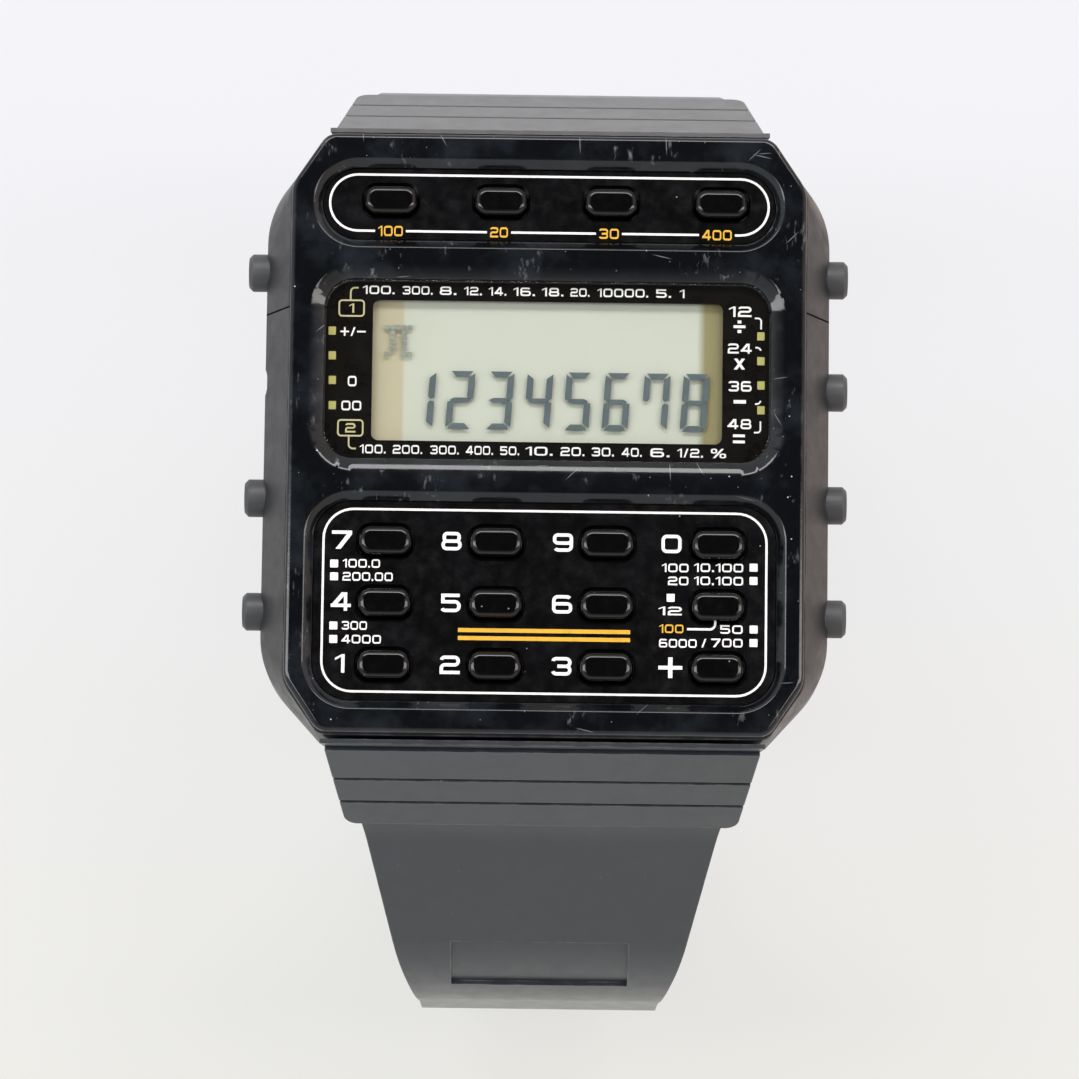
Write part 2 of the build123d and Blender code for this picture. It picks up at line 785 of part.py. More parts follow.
def buzzer_disc():
    """Brass disc with its ceramic layer, glued inside the case back."""
    brass = slab(Pos(0, buzzer_y) * Circle(buzzer_radius), back_thickness, back_thickness + buzzer_thickness)
    ceramic_z = back_thickness + buzzer_thickness
    return brass + slab(Pos(0, buzzer_y) * Circle(ceramic_radius), ceramic_z, ceramic_z + ceramic_thickness)


def buzzer_contact():
    """Bent leaf from the board down to the sounder."""
    low_z = back_thickness + buzzer_thickness + buzzer_contact_thickness / 2 + running_gap
    high_z = board_bottom_z - buzzer_contact_thickness / 2
    near_y = buzzer_y - buzzer_contact_reach / 2 + buzzer_contact_thickness
    far_y = buzzer_y + buzzer_contact_reach / 2 - buzzer_contact_thickness
    side = Plane(origin=(buzzer_contact_x - buzzer_contact_width / 2, 0, 0), x_dir=(0, 1, 0), z_dir=(1, 0, 0))
    bent = Polyline((far_y, high_z), (near_y, high_z), (near_y, (low_z + high_z) / 2), (buzzer_y, low_z),
                    (far_y, low_z))
    return extrude(side * trace(bent, buzzer_contact_thickness), buzzer_contact_width)


def case_back():
    """Steel back with a recess for each screw head."""
    plate = slab(back_outline(), 0, back_thickness)
    plate = chamfer(plate.faces().sort_by(Axis.Z)[0].edges(), back_edge_chamfer)
    for x, y in back_screw_places():
        plate -= slab(Pos(x, y) * Circle(back_screw_radius + seat_gap), -cut_overrun, back_thickness + cut_overrun)
        plate -= slab(Pos(x, y) * Circle(back_screw_head_radius + seat_gap), -cut_overrun, back_screw_head_height)
    return plate


def back_gasket():
    return slab(gasket_outline(), back_thickness, back_thickness + gasket_height)


def back_screws():
    screws = [screw(x, y, 0, back_screw_head_radius, back_screw_head_height, back_screw_radius,
                    back_screw_length) for x, y in back_screw_places()]
    return Compound(children=screws)


def spring_bar():
    """Spring bar of the 12 o'clock end: a tube with a thinner pivot in each lug."""
    tube_reach = lug_inner_x - bar_shoulder_gap
    pivot_reach = lug_inner_x + bar_pivot_length - seat_gap
    tube = cylinder_between(bar_radius, (-tube_reach, bar_y, bar_z), (tube_reach, bar_y, bar_z))
    pivots = cylinder_between(bar_pivot_radius, (-pivot_reach, bar_y, bar_z), (pivot_reach, bar_y, bar_z))
    return tube + pivots


def bend(radius, angle):
    """Route step along an arc; a positive angle turns towards the wrist."""
    return ("bend", radius, angle)


def straight(length):
    return ("straight", length, 0)


def follow_route(place, heading, steps):
    """Edges of a route in the side plane, and the place and heading at the end of each step.

    Places are (outwards, up); the heading is the angle below the outward direction.
    """
    edges = []
    stations = [(place, heading)]
    for kind, size, angle in steps:
        out, up = place
        if kind == "straight":
            place = step_along(place, heading, size)
            edges.append(Edge.make_line((0, out, up), (0, *place)))
        else:
            middle = bend_place(place, heading, size, angle / 2)
            place = bend_place(place, heading, size, angle)
            edges.append(Edge.make_three_point_arc((0, out, up), (0, *middle), (0, *place)))
            heading += angle
        stations.append((place, heading))
    return edges, stations


def step_along(place, heading, length):
    slope = math.radians(heading)
    return (place[0] + length * math.cos(slope), place[1] - length * math.sin(slope))


def inward(place, heading, depth):
    """Move from the outer face towards the wrist."""
    slope = math.radians(heading)
    return (place[0] - depth * math.sin(slope), place[1] - depth * math.cos(slope))


def bend_place(place, heading, radius, angle):
    """Place reached after turning by an angle on an arc of the given radius."""
    turn_radius = math.copysign(radius, angle)
    centre = inward(place, heading, turn_radius)
    return inward(centre, heading + angle, -turn_radius)


def band(place, heading, steps, width, thickness):
    """Flat band of even width that hangs on the inner side of a route."""
    edges, _ = follow_route(place, heading, steps)
    slope = math.radians(heading)
    along = (0, math.cos(slope), -math.sin(slope))
    section = Plane(origin=(0, *place), x_dir=(1, 0, 0), z_dir=along)
    profile = section * Pos(0, thickness / 2) * Rectangle(width, thickness)
    return sweep(profile, path=Wire(edges))


def shoulder_stations():
    """Distance along the ribs' face and sink below it at each corner of the ribs."""
    stations = [(0, lip_sink)]
    along = 0
    for rib in rib_lengths:
        along += rib_groove_width
        stations += [(along - rib_groove_width / 2, rib_groove_depth), (along, 0), (along + rib, 0)]
        along += rib
    return stations


def shoulder_end():
    """Place where the ribs' face ends."""
    return step_along((rib_start_y, rib_start_z), shoulder_slope, shoulder_length)


def strap_front_outline():
    """Outline of a strap half from the front: tapered shoulder, step and the narrowing strap."""
    top_z = lip_top_z + cut_overrun
    end_z = shoulder_end()[1]
    shoulder = make_face(Polyline(
        (shoulder_top_width / 2, top_z), (shoulder_end_width / 2, end_z),
        (-shoulder_end_width / 2, end_z), (-shoulder_top_width / 2, top_z), close=True))
    low_corners = shoulder.vertices().group_by(Axis.Y)[0]
    shoulder = fillet(low_corners, shoulder_corner_radius)
    root_z = end_z + strap_root_overlap
    start_x = strap_start_width / 2
    end_x = strap_end_width / 2
    narrow = make_face(Polyline(
        (end_x, strap_outline_end_z), (end_x, strap_taper_end_z), (start_x, root_z), (-start_x, root_z),
        (-end_x, strap_taper_end_z), (-end_x, strap_outline_end_z), close=True))
    taper_ends = [v for v in narrow.vertices() if abs(v.Y - strap_taper_end_z) < corner_match]
    narrow = fillet(taper_ends, strap_taper_radius)
    return Plane.XZ * (shoulder + narrow)


def shoulder_block():
    """Ribbed shoulder with the barrel for the spring bar and the pockets for the lugs."""
    start = (rib_start_y, rib_start_z)
    ribs = [inward(step_along(start, shoulder_slope, along), shoulder_slope, sink)
            for along, sink in shoulder_stations()]
    lip = [(shoulder_wall_y, lip_top_z), (shoulder_wall_y + lip_thickness, lip_top_z)]
    inner_end = inward(shoulder_end(), shoulder_slope, shoulder_thickness)
    back_off = (inner_end[0] - shoulder_wall_y) / math.cos(math.radians(shoulder_slope))
    inner_top = step_along(inner_end, shoulder_slope, -back_off)
    side = Plane(origin=(-shoulder_top_width / 2, 0, 0), x_dir=(0, 1, 0), z_dir=(1, 0, 0))
    profile = side * make_face(Polyline(*lip, *ribs, inner_end, inner_top, close=True))
    block = extrude(profile, shoulder_top_width)
    reach = lug_inner_x - tongue_gap
    block += cylinder_between(barrel_radius, (-reach, bar_y, bar_z), (reach, bar_y, bar_z))
    for side_x in (1, -1):
        pocket = lug_pocket()
        block -= pocket if side_x > 0 else mirror(pocket, Plane.YZ)
    return block - cylinder_between(bar_radius + bar_gap, (-reach - cut_overrun, bar_y, bar_z),
                                    (reach + cut_overrun, bar_y, bar_z))


def lug_pocket():
    """Room around one lug, with some more below it for the swing."""
    start_x = lug_inner_x - tongue_gap
    end_x = lug_inner_x + lug_thickness + lug_gap
    radius = lug_radius + lug_gap
    eye = cylinder_between(radius, (start_x, bar_y, bar_z), (end_x, bar_y, bar_z))
    depth = bar_y - shoulder_wall_y + cut_overrun
    height = radius * 2 + lug_swing_room
    room = Pos((start_x + end_x) / 2, bar_y - depth / 2, bar_z + radius - height / 2) * Box(
        end_x - start_x, depth, height)
    return eye + room


def strap_half(steps):
    """Shoulder and narrow band of one strap half, on the 12 o'clock side."""
    start, heading = strap_start()
    narrow = band(start, heading, [straight(strap_root_overlap), *steps], strap_start_width, strap_thickness)
    half = shoulder_block() + narrow
    front = strap_front_outline()
    return half & extrude(front, strap_outline_reach, both=True)


def strap_start():
    """Place and heading where the narrow band leaves the shoulder, inside its end."""
    near_end = step_along(shoulder_end(), shoulder_slope, -strap_root_overlap)
    return inward(near_end, shoulder_slope, strap_sink), shoulder_slope


def strap_6_steps():
    return [
        bend(flare_radius, -strap_6_flare_angle),
        straight(strap_6_first_straight),
        bend(strap_6_bulge_radius, strap_6_bulge_angle),
        straight(strap_6_drop),
        bend(strap_6_turn_radius, strap_6_turn_angle),
        straight(strap_6_tail_length),
    ]


def strap_12_steps():
    return [
        bend(flare_radius, -strap_12_flare_angle),
        straight(strap_12_drop),
        bend(strap_12_turn_radius, strap_12_turn_angle),
        straight(strap_12_tail_length),
    ]


def strap_stations(steps):
    """Places on the outer face and headings after each step of a strap half."""
    start, heading = strap_start()
    _, stations = follow_route(start, heading, [straight(strap_root_overlap), *steps])
    return stations


def strap_6():
    """Hole side: recess on the bulge, adjusting holes and a rounded tip."""
    strap = strap_half(strap_6_steps())
    stations = strap_stations(strap_6_steps())
    bulge_place, bulge_heading = stations[3]
    outside = inward(bulge_place, bulge_heading, -cut_overrun)
    wide_recess = [bend(strap_6_bulge_radius + cut_overrun, recess_angle)]
    strap -= band(outside, bulge_heading, wide_recess, recess_width, recess_depth + cut_overrun)
    tip, tip_heading = stations[-1]
    for index in range(tail_holes):
        place = step_along(tip, tip_heading, -hole_tip_distance - hole_pitch * index)
        strap -= strap_hole(place, tip_heading)
    turn_start, start_heading = stations[-3]
    pitch_angle = math.degrees(hole_pitch / strap_6_turn_radius)
    last_gap = strap_6_tail_length - hole_tip_distance - hole_pitch * (tail_holes - 1)
    first_angle = math.degrees((hole_pitch - last_gap) / strap_6_turn_radius)
    for index in range(turn_holes):
        angle = strap_6_turn_angle - first_angle - pitch_angle * index
        place = bend_place(turn_start, start_heading, strap_6_turn_radius, angle)
        strap -= strap_hole(place, start_heading + angle)
    tip_edges = strap.faces().sort_by(Axis.Y)[0].edges().filter_by(Axis.Z)
    strap = fillet(tip_edges, strap_6_tip_radius)
    return mirror(strap, Plane.XZ)


def strap_hole(place, heading):
    """Round hole across the band at a place on its outer face."""
    outside = inward(place, heading, -cut_overrun)
    inside = inward(place, heading, strap_thickness + cut_overrun)
    return cylinder_between(hole_radius, (0, *outside), (0, *inside))


def pin_place():
    """Centre of the buckle pin, at half the thickness of the strap's end."""
    (out, up), heading = strap_stations(strap_12_steps())[-1]
    return inward((out, up), heading, strap_thickness / 2)


def strap_12():
    """Buckle side: its end goes round the pin and has a slot for the tongue."""
    strap = strap_half(strap_12_steps())
    y, z = pin_place()
    reach = strap_end_width / 2
    strap += cylinder_between(buckle_eye_radius, (-reach, y, z), (reach, y, z))
    strap -= cylinder_between(pin_radius + bar_gap, (-reach - cut_overrun, y, z), (reach + cut_overrun, y, z))
    slot_width = buckle_tongue_width + buckle_gap * 2
    slot_start = y - buckle_eye_radius - cut_overrun
    slot_end = y + buckle_slot_length
    slot = Pos(0, (slot_start + slot_end) / 2, z) * Box(
        slot_width, slot_end - slot_start, strap_thickness * 2)
    return strap - slot


def buckle_arm_x():
    """Middle of a buckle arm, beside the strap."""
    return strap_end_width / 2 + buckle_gap + buckle_arm_width / 2


def buckle_pin():
    y, z = pin_place()
    reach = buckle_arm_x() + buckle_arm_width / 2
    return cylinder_between(pin_radius, (-reach, y, z), (reach, y, z))


def buckle_frame():
    """Steel loop: an eye on each arm and an end bar with a notch for the tongue."""
    y, z = pin_place()
    outer_width = (buckle_arm_x() + buckle_arm_width / 2) * 2
    inner_width = (buckle_arm_x() - buckle_arm_width / 2) * 2
    outer = Pos(0, y - buckle_length / 2) * Rectangle(outer_width, buckle_length)
    inner_length = buckle_length - buckle_bar_length
    inner = Pos(0, y - inner_length / 2) * Rectangle(inner_width, inner_length)
    end_corners = outer.vertices().group_by(Axis.Y)[0]
    outer = fillet(end_corners, buckle_corner_radius)
    frame = slab(outer - inner, z - buckle_arm_thickness / 2, z + buckle_arm_thickness / 2)
    long_edges = frame.faces().sort_by(Axis.Y)[0].edges().filter_by(Axis.X)
    frame = chamfer(long_edges, buckle_edge_bevel)
    for side in (1, -1):
        inner_x = side * inner_width / 2
        outer_x = side * outer_width / 2
        frame += cylinder_between(buckle_eye_radius, (inner_x, y, z), (outer_x, y, z))
        frame -= cylinder_between(pin_radius + pin_head_gap, (inner_x, y, z), (outer_x + side * cut_overrun, y, z))
    notch_width = buckle_tongue_width + buckle_gap * 2
    bar_y_middle = y - buckle_length + buckle_bar_length / 2
    notch_z = z - buckle_arm_thickness / 2
    notch = Pos(0, bar_y_middle, notch_z) * Box(notch_width, buckle_bar_length * 2, buckle_notch_depth * 2)
    return frame - notch


def buckle_tongue():
    """Tongue: an eye on the pin and a finger that lies in the notch of the end bar."""
    y, z = pin_place()
    half = buckle_tongue_width / 2
    eye = cylinder_between(buckle_eye_radius, (-half, y, z), (half, y, z))
    rest_z = (z - buckle_arm_thickness / 2 + buckle_notch_depth - buckle_tongue_gap
              - buckle_tongue_thickness / 2)
    tip_y = y - buckle_length - buckle_tongue_reach
    side = Plane(origin=(-half, 0, 0), x_dir=(0, 1, 0), z_dir=(1, 0, 0))
    line = Polyline((y - pin_radius, z), (y - buckle_eye_radius * 2, rest_z), (tip_y, rest_z))
    finger = extrude(side * trace(line, buckle_tongue_thickness), buckle_tongue_width)
    bore = cylinder_between(pin_radius + pin_head_gap, (-half - cut_overrun, y, z), (half + cut_overrun, y, z))
    return eye + finger - bore


def keeper(offset_from_pin):
    """Band around the strap with room below it for the tail."""
    y, z = pin_place()
    inner_width = strap_end_width + keeper_side_gap * 2
    inner_top = z + strap_thickness / 2 + keeper_strap_gap
    inner_height = strap_thickness + keeper_strap_gap + keeper_room
    middle_z = inner_top - inner_height / 2
    front = Plane(origin=(0, y + offset_from_pin + keeper_length / 2, middle_z), x_dir=(1, 0, 0), z_dir=(0, -1, 0))
    outer = RectangleRounded(inner_width + keeper_wall * 2, inner_height + keeper_wall * 2,
                             keeper_corner_radius + keeper_wall)
    inner = RectangleRounded(inner_width, inner_height, keeper_corner_radius)
    loop = extrude(front * (outer - inner), keeper_length)
    return loop


def all_parts():
    """Each node's name with its solid."""
    upper_rows = (upper_key_y,)
    keypad_ys = tuple(keypad_first_y - row * keypad_pitch_y for row in range(keypad_rows))
    upper_window, _, keypad_window = window_outlines(seat_gap)
    parts = {
        "case_middle": case_middle(),
        "front_bezel": front_bezel(),
        "key_plate_upper": key_plate(upper_window, upper_rows),
        "key_plate_lower": key_plate(keypad_window, keypad_ys),
        "display_crystal": display_crystal(),
        "lcd_cell": lcd_cell(),
        "display_holder": display_holder(),
        "light_guide": light_guide(),
        "zebra_connectors": zebra_connectors(),
        "lamp_bulb": lamp_bulb(),
        "key_membrane_upper": membrane(upper_key_y, upper_membrane_length, upper_rows),
        "key_membrane_lower": membrane(keypad_window_y, keypad_membrane_length, keypad_ys),
        "module_frame": module_frame(),
        "circuit_board": circuit_board(),
        "main_chip": main_chip(),
        "quartz_can": quartz_can(),
        "battery_cells": battery_cells(),
        "battery_clamp": battery_clamp(),
        "clamp_screws": clamp_screws(),
        "buzzer_disc": buzzer_disc(),
        "buzzer_contact": buzzer_contact(),
        "case_back": case_back(),
        "back_gasket": back_gasket(),
        "back_screws": back_screws(),
        "side_contacts_right": side_contacts(1),
        "side_contacts_left": side_contacts(-1),
        "spring_bar_12": spring_bar(),
        "spring_bar_6": mirror(spring_bar(), Plane.XZ),
        "strap_12": strap_12(),
        "strap_6": strap_6(),
        "buckle_pin": buckle_pin(),
        "buckle_frame": buckle_frame(),
        "buckle_tongue": buckle_tongue(),
        "fixed_keeper": keeper(fixed_keeper_offset),
        "free_keeper": keeper(free_keeper_offset),
    }
    for name, (x, y) in key_places().items():
        parts[name] = key(x, y)
    for name, side, y, tip in pusher_places():
        parts[name] = pusher(side, y, tip)
    return parts


def main():
    os.makedirs("parts", exist_ok=True)
    for name, solid in all_parts().items():
        export_step(solid, f"parts/{name}.step")
    for name, steps in (("strap_6", strap_6_steps()), ("strap_12", strap_12_steps())):
        (out, up), _ = strap_stations(steps)[-1]
        print(f"{name} ends {out:.2f} outwards and {up:.2f} up")


main()
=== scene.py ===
"""Looks of a calculator watch: moulded resin, glossy front, printed legends, display and wear.

Lengths are in metres, in the watch's own frame: +Z comes out of the display,
+Y points to 12 o'clock and +X to 3 o'clock.
"""

import json
import math

import bpy
from mathutils import Matrix, Vector

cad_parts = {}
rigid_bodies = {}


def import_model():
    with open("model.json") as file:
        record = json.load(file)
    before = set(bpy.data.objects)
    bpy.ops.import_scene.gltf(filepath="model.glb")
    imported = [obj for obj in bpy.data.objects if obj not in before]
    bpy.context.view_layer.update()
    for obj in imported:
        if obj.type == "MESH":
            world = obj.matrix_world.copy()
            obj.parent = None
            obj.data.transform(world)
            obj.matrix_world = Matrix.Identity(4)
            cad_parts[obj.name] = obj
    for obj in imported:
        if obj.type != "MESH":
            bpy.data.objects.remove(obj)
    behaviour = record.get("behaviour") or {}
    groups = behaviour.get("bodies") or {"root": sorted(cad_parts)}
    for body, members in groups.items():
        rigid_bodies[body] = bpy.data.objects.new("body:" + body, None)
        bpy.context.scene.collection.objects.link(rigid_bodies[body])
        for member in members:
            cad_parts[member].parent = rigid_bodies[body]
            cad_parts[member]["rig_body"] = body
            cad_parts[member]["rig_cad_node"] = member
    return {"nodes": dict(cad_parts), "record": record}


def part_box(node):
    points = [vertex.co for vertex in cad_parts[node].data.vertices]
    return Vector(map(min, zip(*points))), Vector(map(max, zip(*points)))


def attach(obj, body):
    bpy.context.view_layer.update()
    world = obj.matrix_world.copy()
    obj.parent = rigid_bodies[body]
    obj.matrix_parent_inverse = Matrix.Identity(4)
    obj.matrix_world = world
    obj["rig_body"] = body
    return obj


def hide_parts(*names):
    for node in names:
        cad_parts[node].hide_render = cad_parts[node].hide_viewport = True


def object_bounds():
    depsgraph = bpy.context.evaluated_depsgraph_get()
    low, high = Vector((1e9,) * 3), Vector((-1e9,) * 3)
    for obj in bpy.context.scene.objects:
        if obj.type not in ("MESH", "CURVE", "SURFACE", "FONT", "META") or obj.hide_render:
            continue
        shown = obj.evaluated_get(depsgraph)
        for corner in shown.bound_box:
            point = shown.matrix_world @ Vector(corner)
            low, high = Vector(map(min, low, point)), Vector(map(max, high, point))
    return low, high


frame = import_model()
size_of_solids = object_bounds()

mm = 0.001
watch_head = "watch_head"

# Merging and softening the copied solids
merge_distance = 0.002 * mm
flat_angle = math.radians(0.6)
smooth_angle = math.radians(38)
soften_angle = math.radians(32)
corner_steps = 10
key_rounding = 0.22 * mm
pusher_rounding = 0.1 * mm

# Heights that the print, the mask and the display film lie on
plate_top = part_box("key_plate_lower")[1].z
crystal_low, crystal_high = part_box("display_crystal")
lcd_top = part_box("lcd_cell")[1].z
bezel_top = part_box("front_bezel")[1].z
ink_thickness = 0.012 * mm
print_merge = 0.0005 * mm
film_thickness = 0.04 * mm
mask_thickness = 0.03 * mm

# Clear sheet between the display film and the digits, with a gap on both sides
sheet_thickness = 0.25 * mm
sheet_gap = 0.01 * mm
digits_bottom = lcd_top + film_thickness + sheet_gap + sheet_thickness + sheet_gap

# Printed lines of the two key fields
field_line = 0.14 * mm
upper_field = ((-13.92 * mm, 12.75 * mm), (13.92 * mm, 16.5 * mm))
lower_field = ((-13.94 * mm, -16.5 * mm), (13.94 * mm, -4.86 * mm))
lower_corner = 1.95 * mm
upper_corner = 1.855 * mm
gap_depth = 0.5 * mm

# Window pane, mask and film
pane_corner = 1.85 * mm
pane_rounding = 0.06 * mm
pane_angle = math.radians(35)
rim_depth = 0.01 * mm
mask_margin = 0.03 * mm
mask_corner = 1.82 * mm
film_half_width = 11.3 * mm
film_margin = 0.3 * mm
film_corner = 0.2 * mm

# Display window in the mask
view_half_width = 11.03 * mm
view_low = -0.46 * mm
view_high = 8.5 * mm
view_corner = 0.45 * mm

# Strips of the display film, from where each starts to where it is full; the glow fades the other way
tan_glow = (-9.0 * mm, -6.2 * mm)
tan_strip = (-8.95 * mm, -9.2 * mm)
olive_strip = (9.45 * mm, 9.95 * mm)

# Painted sheen on the strap's upper ribs at 12 o'clock, from where it starts to where it is full, along Y and
# along Z
strap_sheen_y = (17 * mm, 19 * mm)
strap_sheen_z = (-4 * mm, 1 * mm)

# Seam across the case: its place, and how far from its middle it is deep and ends
seam_y = 8.0 * mm
seam_deep = 0.04 * mm
seam_end = 0.09 * mm

# Numerals beside the keys, one column for each column of keys
numeral_height = 1.16 * mm
numeral_width = 1.26 * mm
numeral_raise = 0.06 * mm
numeral_columns = (-12.72 * mm, -5.85 * mm, 1.12 * mm, 7.92 * mm)
plus_height = 1.3 * mm
plus_width = 1.5 * mm

# Display digits, in millimetres
digit_pitch = 2.461
digit_height = 3.7
digit_width = 1.64
digit_first_x = -7.91
digit_middle_y = 2.22
digit_slant = math.radians(3.8)
upright_width = 0.41
level_width = 0.38
segments_of_digit = ("bc", "abdeg", "abcdg", "bcfg", "acdfg", "acdefg", "abcf", "abcdefg")
dot_pitch = (0.36 * mm, 0.342 * mm)
dot_size = (0.3 * mm, 0.28 * mm)
dot_symbol = ("#####", " # # ", " # # ", " # # ", " # # ", "#  ##")
dot_symbol_left = -10.29 * mm
dot_symbol_top = 6.95 * mm


# Selecting

def deselect_all():
    if bpy.context.object and bpy.context.object.mode != "OBJECT":
        bpy.ops.object.mode_set(mode="OBJECT")
    for item in list(bpy.context.selected_objects):
        item.select_set(False)


def take_up(piece):
    """Make one piece the only selected and active one."""
    deselect_all()
    piece.select_set(True)
    bpy.context.view_layer.objects.active = piece


def clear_picks(piece):
    """Take a piece up with nothing in its mesh selected."""
    take_up(piece)
    for part in (piece.data.vertices, piece.data.edges, piece.data.polygons):
        part.foreach_set("select", [False] * len(part))


def open_edit(kind):
    bpy.ops.object.mode_set(mode="EDIT")
    bpy.ops.mesh.select_mode(type=kind)


def pick_faces(piece, wanted):
    """Enter edit mode with just those faces selected that the test picks."""
    clear_picks(piece)
    for face in piece.data.polygons:
        face.select = wanted(face)
    open_edit("FACE")


def pick_edges(piece, wanted):
    """Enter edit mode with just those edges selected whose two ends the test picks."""
    clear_picks(piece)
    points = piece.data.vertices
    for edge in piece.data.edges:
        edge.select = wanted(points[edge.vertices[0]].co, points[edge.vertices[1]].co)
    open_edit("EDGE")


def pick_all(piece):
    """Enter edit mode with the whole piece selected."""
    take_up(piece)
    bpy.ops.object.mode_set(mode="EDIT")
    bpy.ops.mesh.select_all(action="SELECT")


def close_edit():
    bpy.ops.object.mode_set(mode="OBJECT")


# Building pieces

def settle(piece):
    """Put a piece's place into its mesh."""
    take_up(piece)
    bpy.ops.object.transform_apply(location=True, rotation=True, scale=True)


def name_piece(name):
    piece = bpy.context.active_object
    piece.name = name
    piece.data.name = name
    return piece


def flat_piece(name, low, high, z=0.0):
    """Flat rectangle between two corners."""
    deselect_all()
    middle = ((low[0] + high[0]) / 2, (low[1] + high[1]) / 2, z)
    bpy.ops.mesh.primitive_plane_add(size=1, location=middle)
    piece = name_piece(name)
    piece.scale = (high[0] - low[0], high[1] - low[1], 1)
    settle(piece)
    return piece


def round_corners(piece, corner):
    """Round the corners of a flat piece."""
    pick_all(piece)
    bpy.ops.mesh.bevel(offset=corner, segments=corner_steps, affect="VERTICES")
    close_edit()


def thicken(piece, height=ink_thickness, merge=print_merge):
    """Give a flat piece its thickness, upwards, with its faces turned outwards."""
    pick_all(piece)
    bpy.ops.mesh.remove_doubles(threshold=merge)
    bpy.ops.mesh.normals_make_consistent(inside=False)
    bpy.ops.mesh.extrude_region_move(TRANSFORM_OT_translate={"value": (0, 0, height)})
    bpy.ops.mesh.select_all(action="SELECT")
    bpy.ops.mesh.normals_make_consistent(inside=False)
    close_edit()
    return piece


def solid_copy(node, name):
    """Merged copy of a solid, ready for its edges to be softened."""
    take_up(frame["nodes"][node])
    bpy.ops.object.duplicate()
    piece = name_piece(name)
    piece.parent = None
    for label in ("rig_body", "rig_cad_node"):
        del piece[label]
    pick_all(piece)
    bpy.ops.mesh.remove_doubles(threshold=merge_distance)
    bpy.ops.mesh.dissolve_limited(angle_limit=flat_angle)
    close_edit()
    return piece


def even_shading(piece, angle=smooth_angle):
    """Smooth the gentle edges, and keep large faces flat up to their rounded rims."""
    take_up(piece)
    bpy.ops.object.shade_smooth_by_angle(angle=angle)
    bpy.ops.object.modifier_add(type="WEIGHTED_NORMAL")
    shading = piece.modifiers[-1]
    shading.keep_sharp = True
    bpy.ops.object.modifier_apply(modifier=shading.name)


def soften(piece, width, segments=3):
    """Round every sharp edge."""
    take_up(piece)
    bpy.ops.object.modifier_add(type="BEVEL")
    rounding = piece.modifiers[-1]
    rounding.width = width
    rounding.segments = segments
    rounding.limit_method = "ANGLE"
    rounding.angle_limit = soften_angle
    rounding.miter_outer = "MITER_ARC"
    rounding.use_clamp_overlap = True
    bpy.ops.object.modifier_apply(modifier=rounding.name)
    even_shading(piece)
    return piece


def dress(piece, finish, body=watch_head, stands_for=()):
    """Give a piece its finish and the body it moves with."""
    piece.data.materials.clear()
    piece.data.materials.append(finishes[finish])
    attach(piece, body)
    if stands_for:
        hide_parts(*stands_for)
    return piece


def body_of_node(node):
    for body, members in frame["record"]["behaviour"]["bodies"].items():
        if node in members:
            return body
    return watch_head


def dress_solid(piece, node, finish):
    """Dress a piece that stands for a solid."""
    dress(piece, finish, body_of_node(node), (node,))


def copy_of(piece, name, shift):
    """Copy of a piece with its own mesh, moved to its place."""
    take_up(piece)
    bpy.ops.object.duplicate()
    twin = name_piece(name)
    twin.location = shift
    settle(twin)
    return twin


def join_all(pieces, name):
    """Join pieces into one."""
    take_up(pieces[0])
    for piece in pieces[1:]:
        piece.select_set(True)
    if len(pieces) > 1:
        bpy.ops.object.join()
    return name_piece(name)


# Finishes

def add_node(look, kind, inputs=None, **settings):
    """Add a node, link or set its inputs, and give its outputs."""
    node = look.node_tree.nodes.new("ShaderNode" + kind)
    for key, value in settings.items():
        setattr(node, key, value)
    for socket, value in (inputs or {}).items():
        if isinstance(value, bpy.types.NodeSocket):
            look.node_tree.links.new(value, node.inputs[socket])
        else:
            node.inputs[socket].default_value = value
    return node.outputs


def shader_of(look):
    return look.node_tree.nodes["Principled BSDF"]


def feed(look, name, source):
    """Let a value drive an input of the shader."""
    look.node_tree.links.new(source, shader_of(look).inputs[name])


def show(look, share, first, second):
    """Show a mix of two shadings."""
    mix = add_node(look, "MixShader", {0: share, 1: first, 2: second})
    tree = look.node_tree
    tree.links.new(mix["Shader"], tree.nodes["Material Output"].inputs["Surface"])


def new_finish(name, colour, roughness, metallic=0.0):
    look = bpy.data.materials.new(name)
    look.use_nodes = True
    inputs = shader_of(look).inputs
    inputs["Base Color"].default_value = (*colour, 1)
    inputs["Roughness"].default_value = roughness
    inputs["Metallic"].default_value = metallic
    return look


def axes_of(look, kind="Object"):
    """The three parts of a place on the piece, or of another coordinate."""
    place = add_node(look, "TexCoord")[kind]
    return add_node(look, "SeparateXYZ", {"Vector": place})


def on_piece(look, stretch=(1, 1, 1), turn=0.0):
    """Place on the piece, turned about Z and then squeezed along the turned axes."""
    place = add_node(look, "TexCoord")["Object"]
    inputs = {"Vector": place, "Rotation": (0, 0, turn), "Scale": [1 / part for part in stretch]}
    return add_node(look, "Mapping", inputs, vector_type="TEXTURE")["Vector"]


def grain(look, size, detail, stretch=(1, 1, 1), turn=0.0):
    """Noise whose patches are about the given size."""
    inputs = {"Vector": on_piece(look, stretch, turn), "Scale": 1 / size, "Detail": detail,
              "Roughness": 0.6}
    return add_node(look, "TexNoise", inputs)["Fac"]


def between(look, source, low, high, out_low=0.0, out_high=1.0):
    """Stretch the part of a value between two limits over a new range."""
    inputs = {"Value": source, "From Min": low, "From Max": high, "To Min": out_low, "To Max": out_high}
    return add_node(look, "MapRange", inputs)["Result"]


def patches(look, size, detail, *limits):
    """Noise, stretched over a new range."""
    return between(look, grain(look, size, detail), *limits)


def reckon(look, operation, first, second=0.0, clamp=False):
    """One step of arithmetic on values or numbers."""
    inputs = {0: first, 1: second}
    return add_node(look, "Math", inputs, operation=operation, use_clamp=clamp)[0]


def times(look, first, second):
    return reckon(look, "MULTIPLY", first, second)


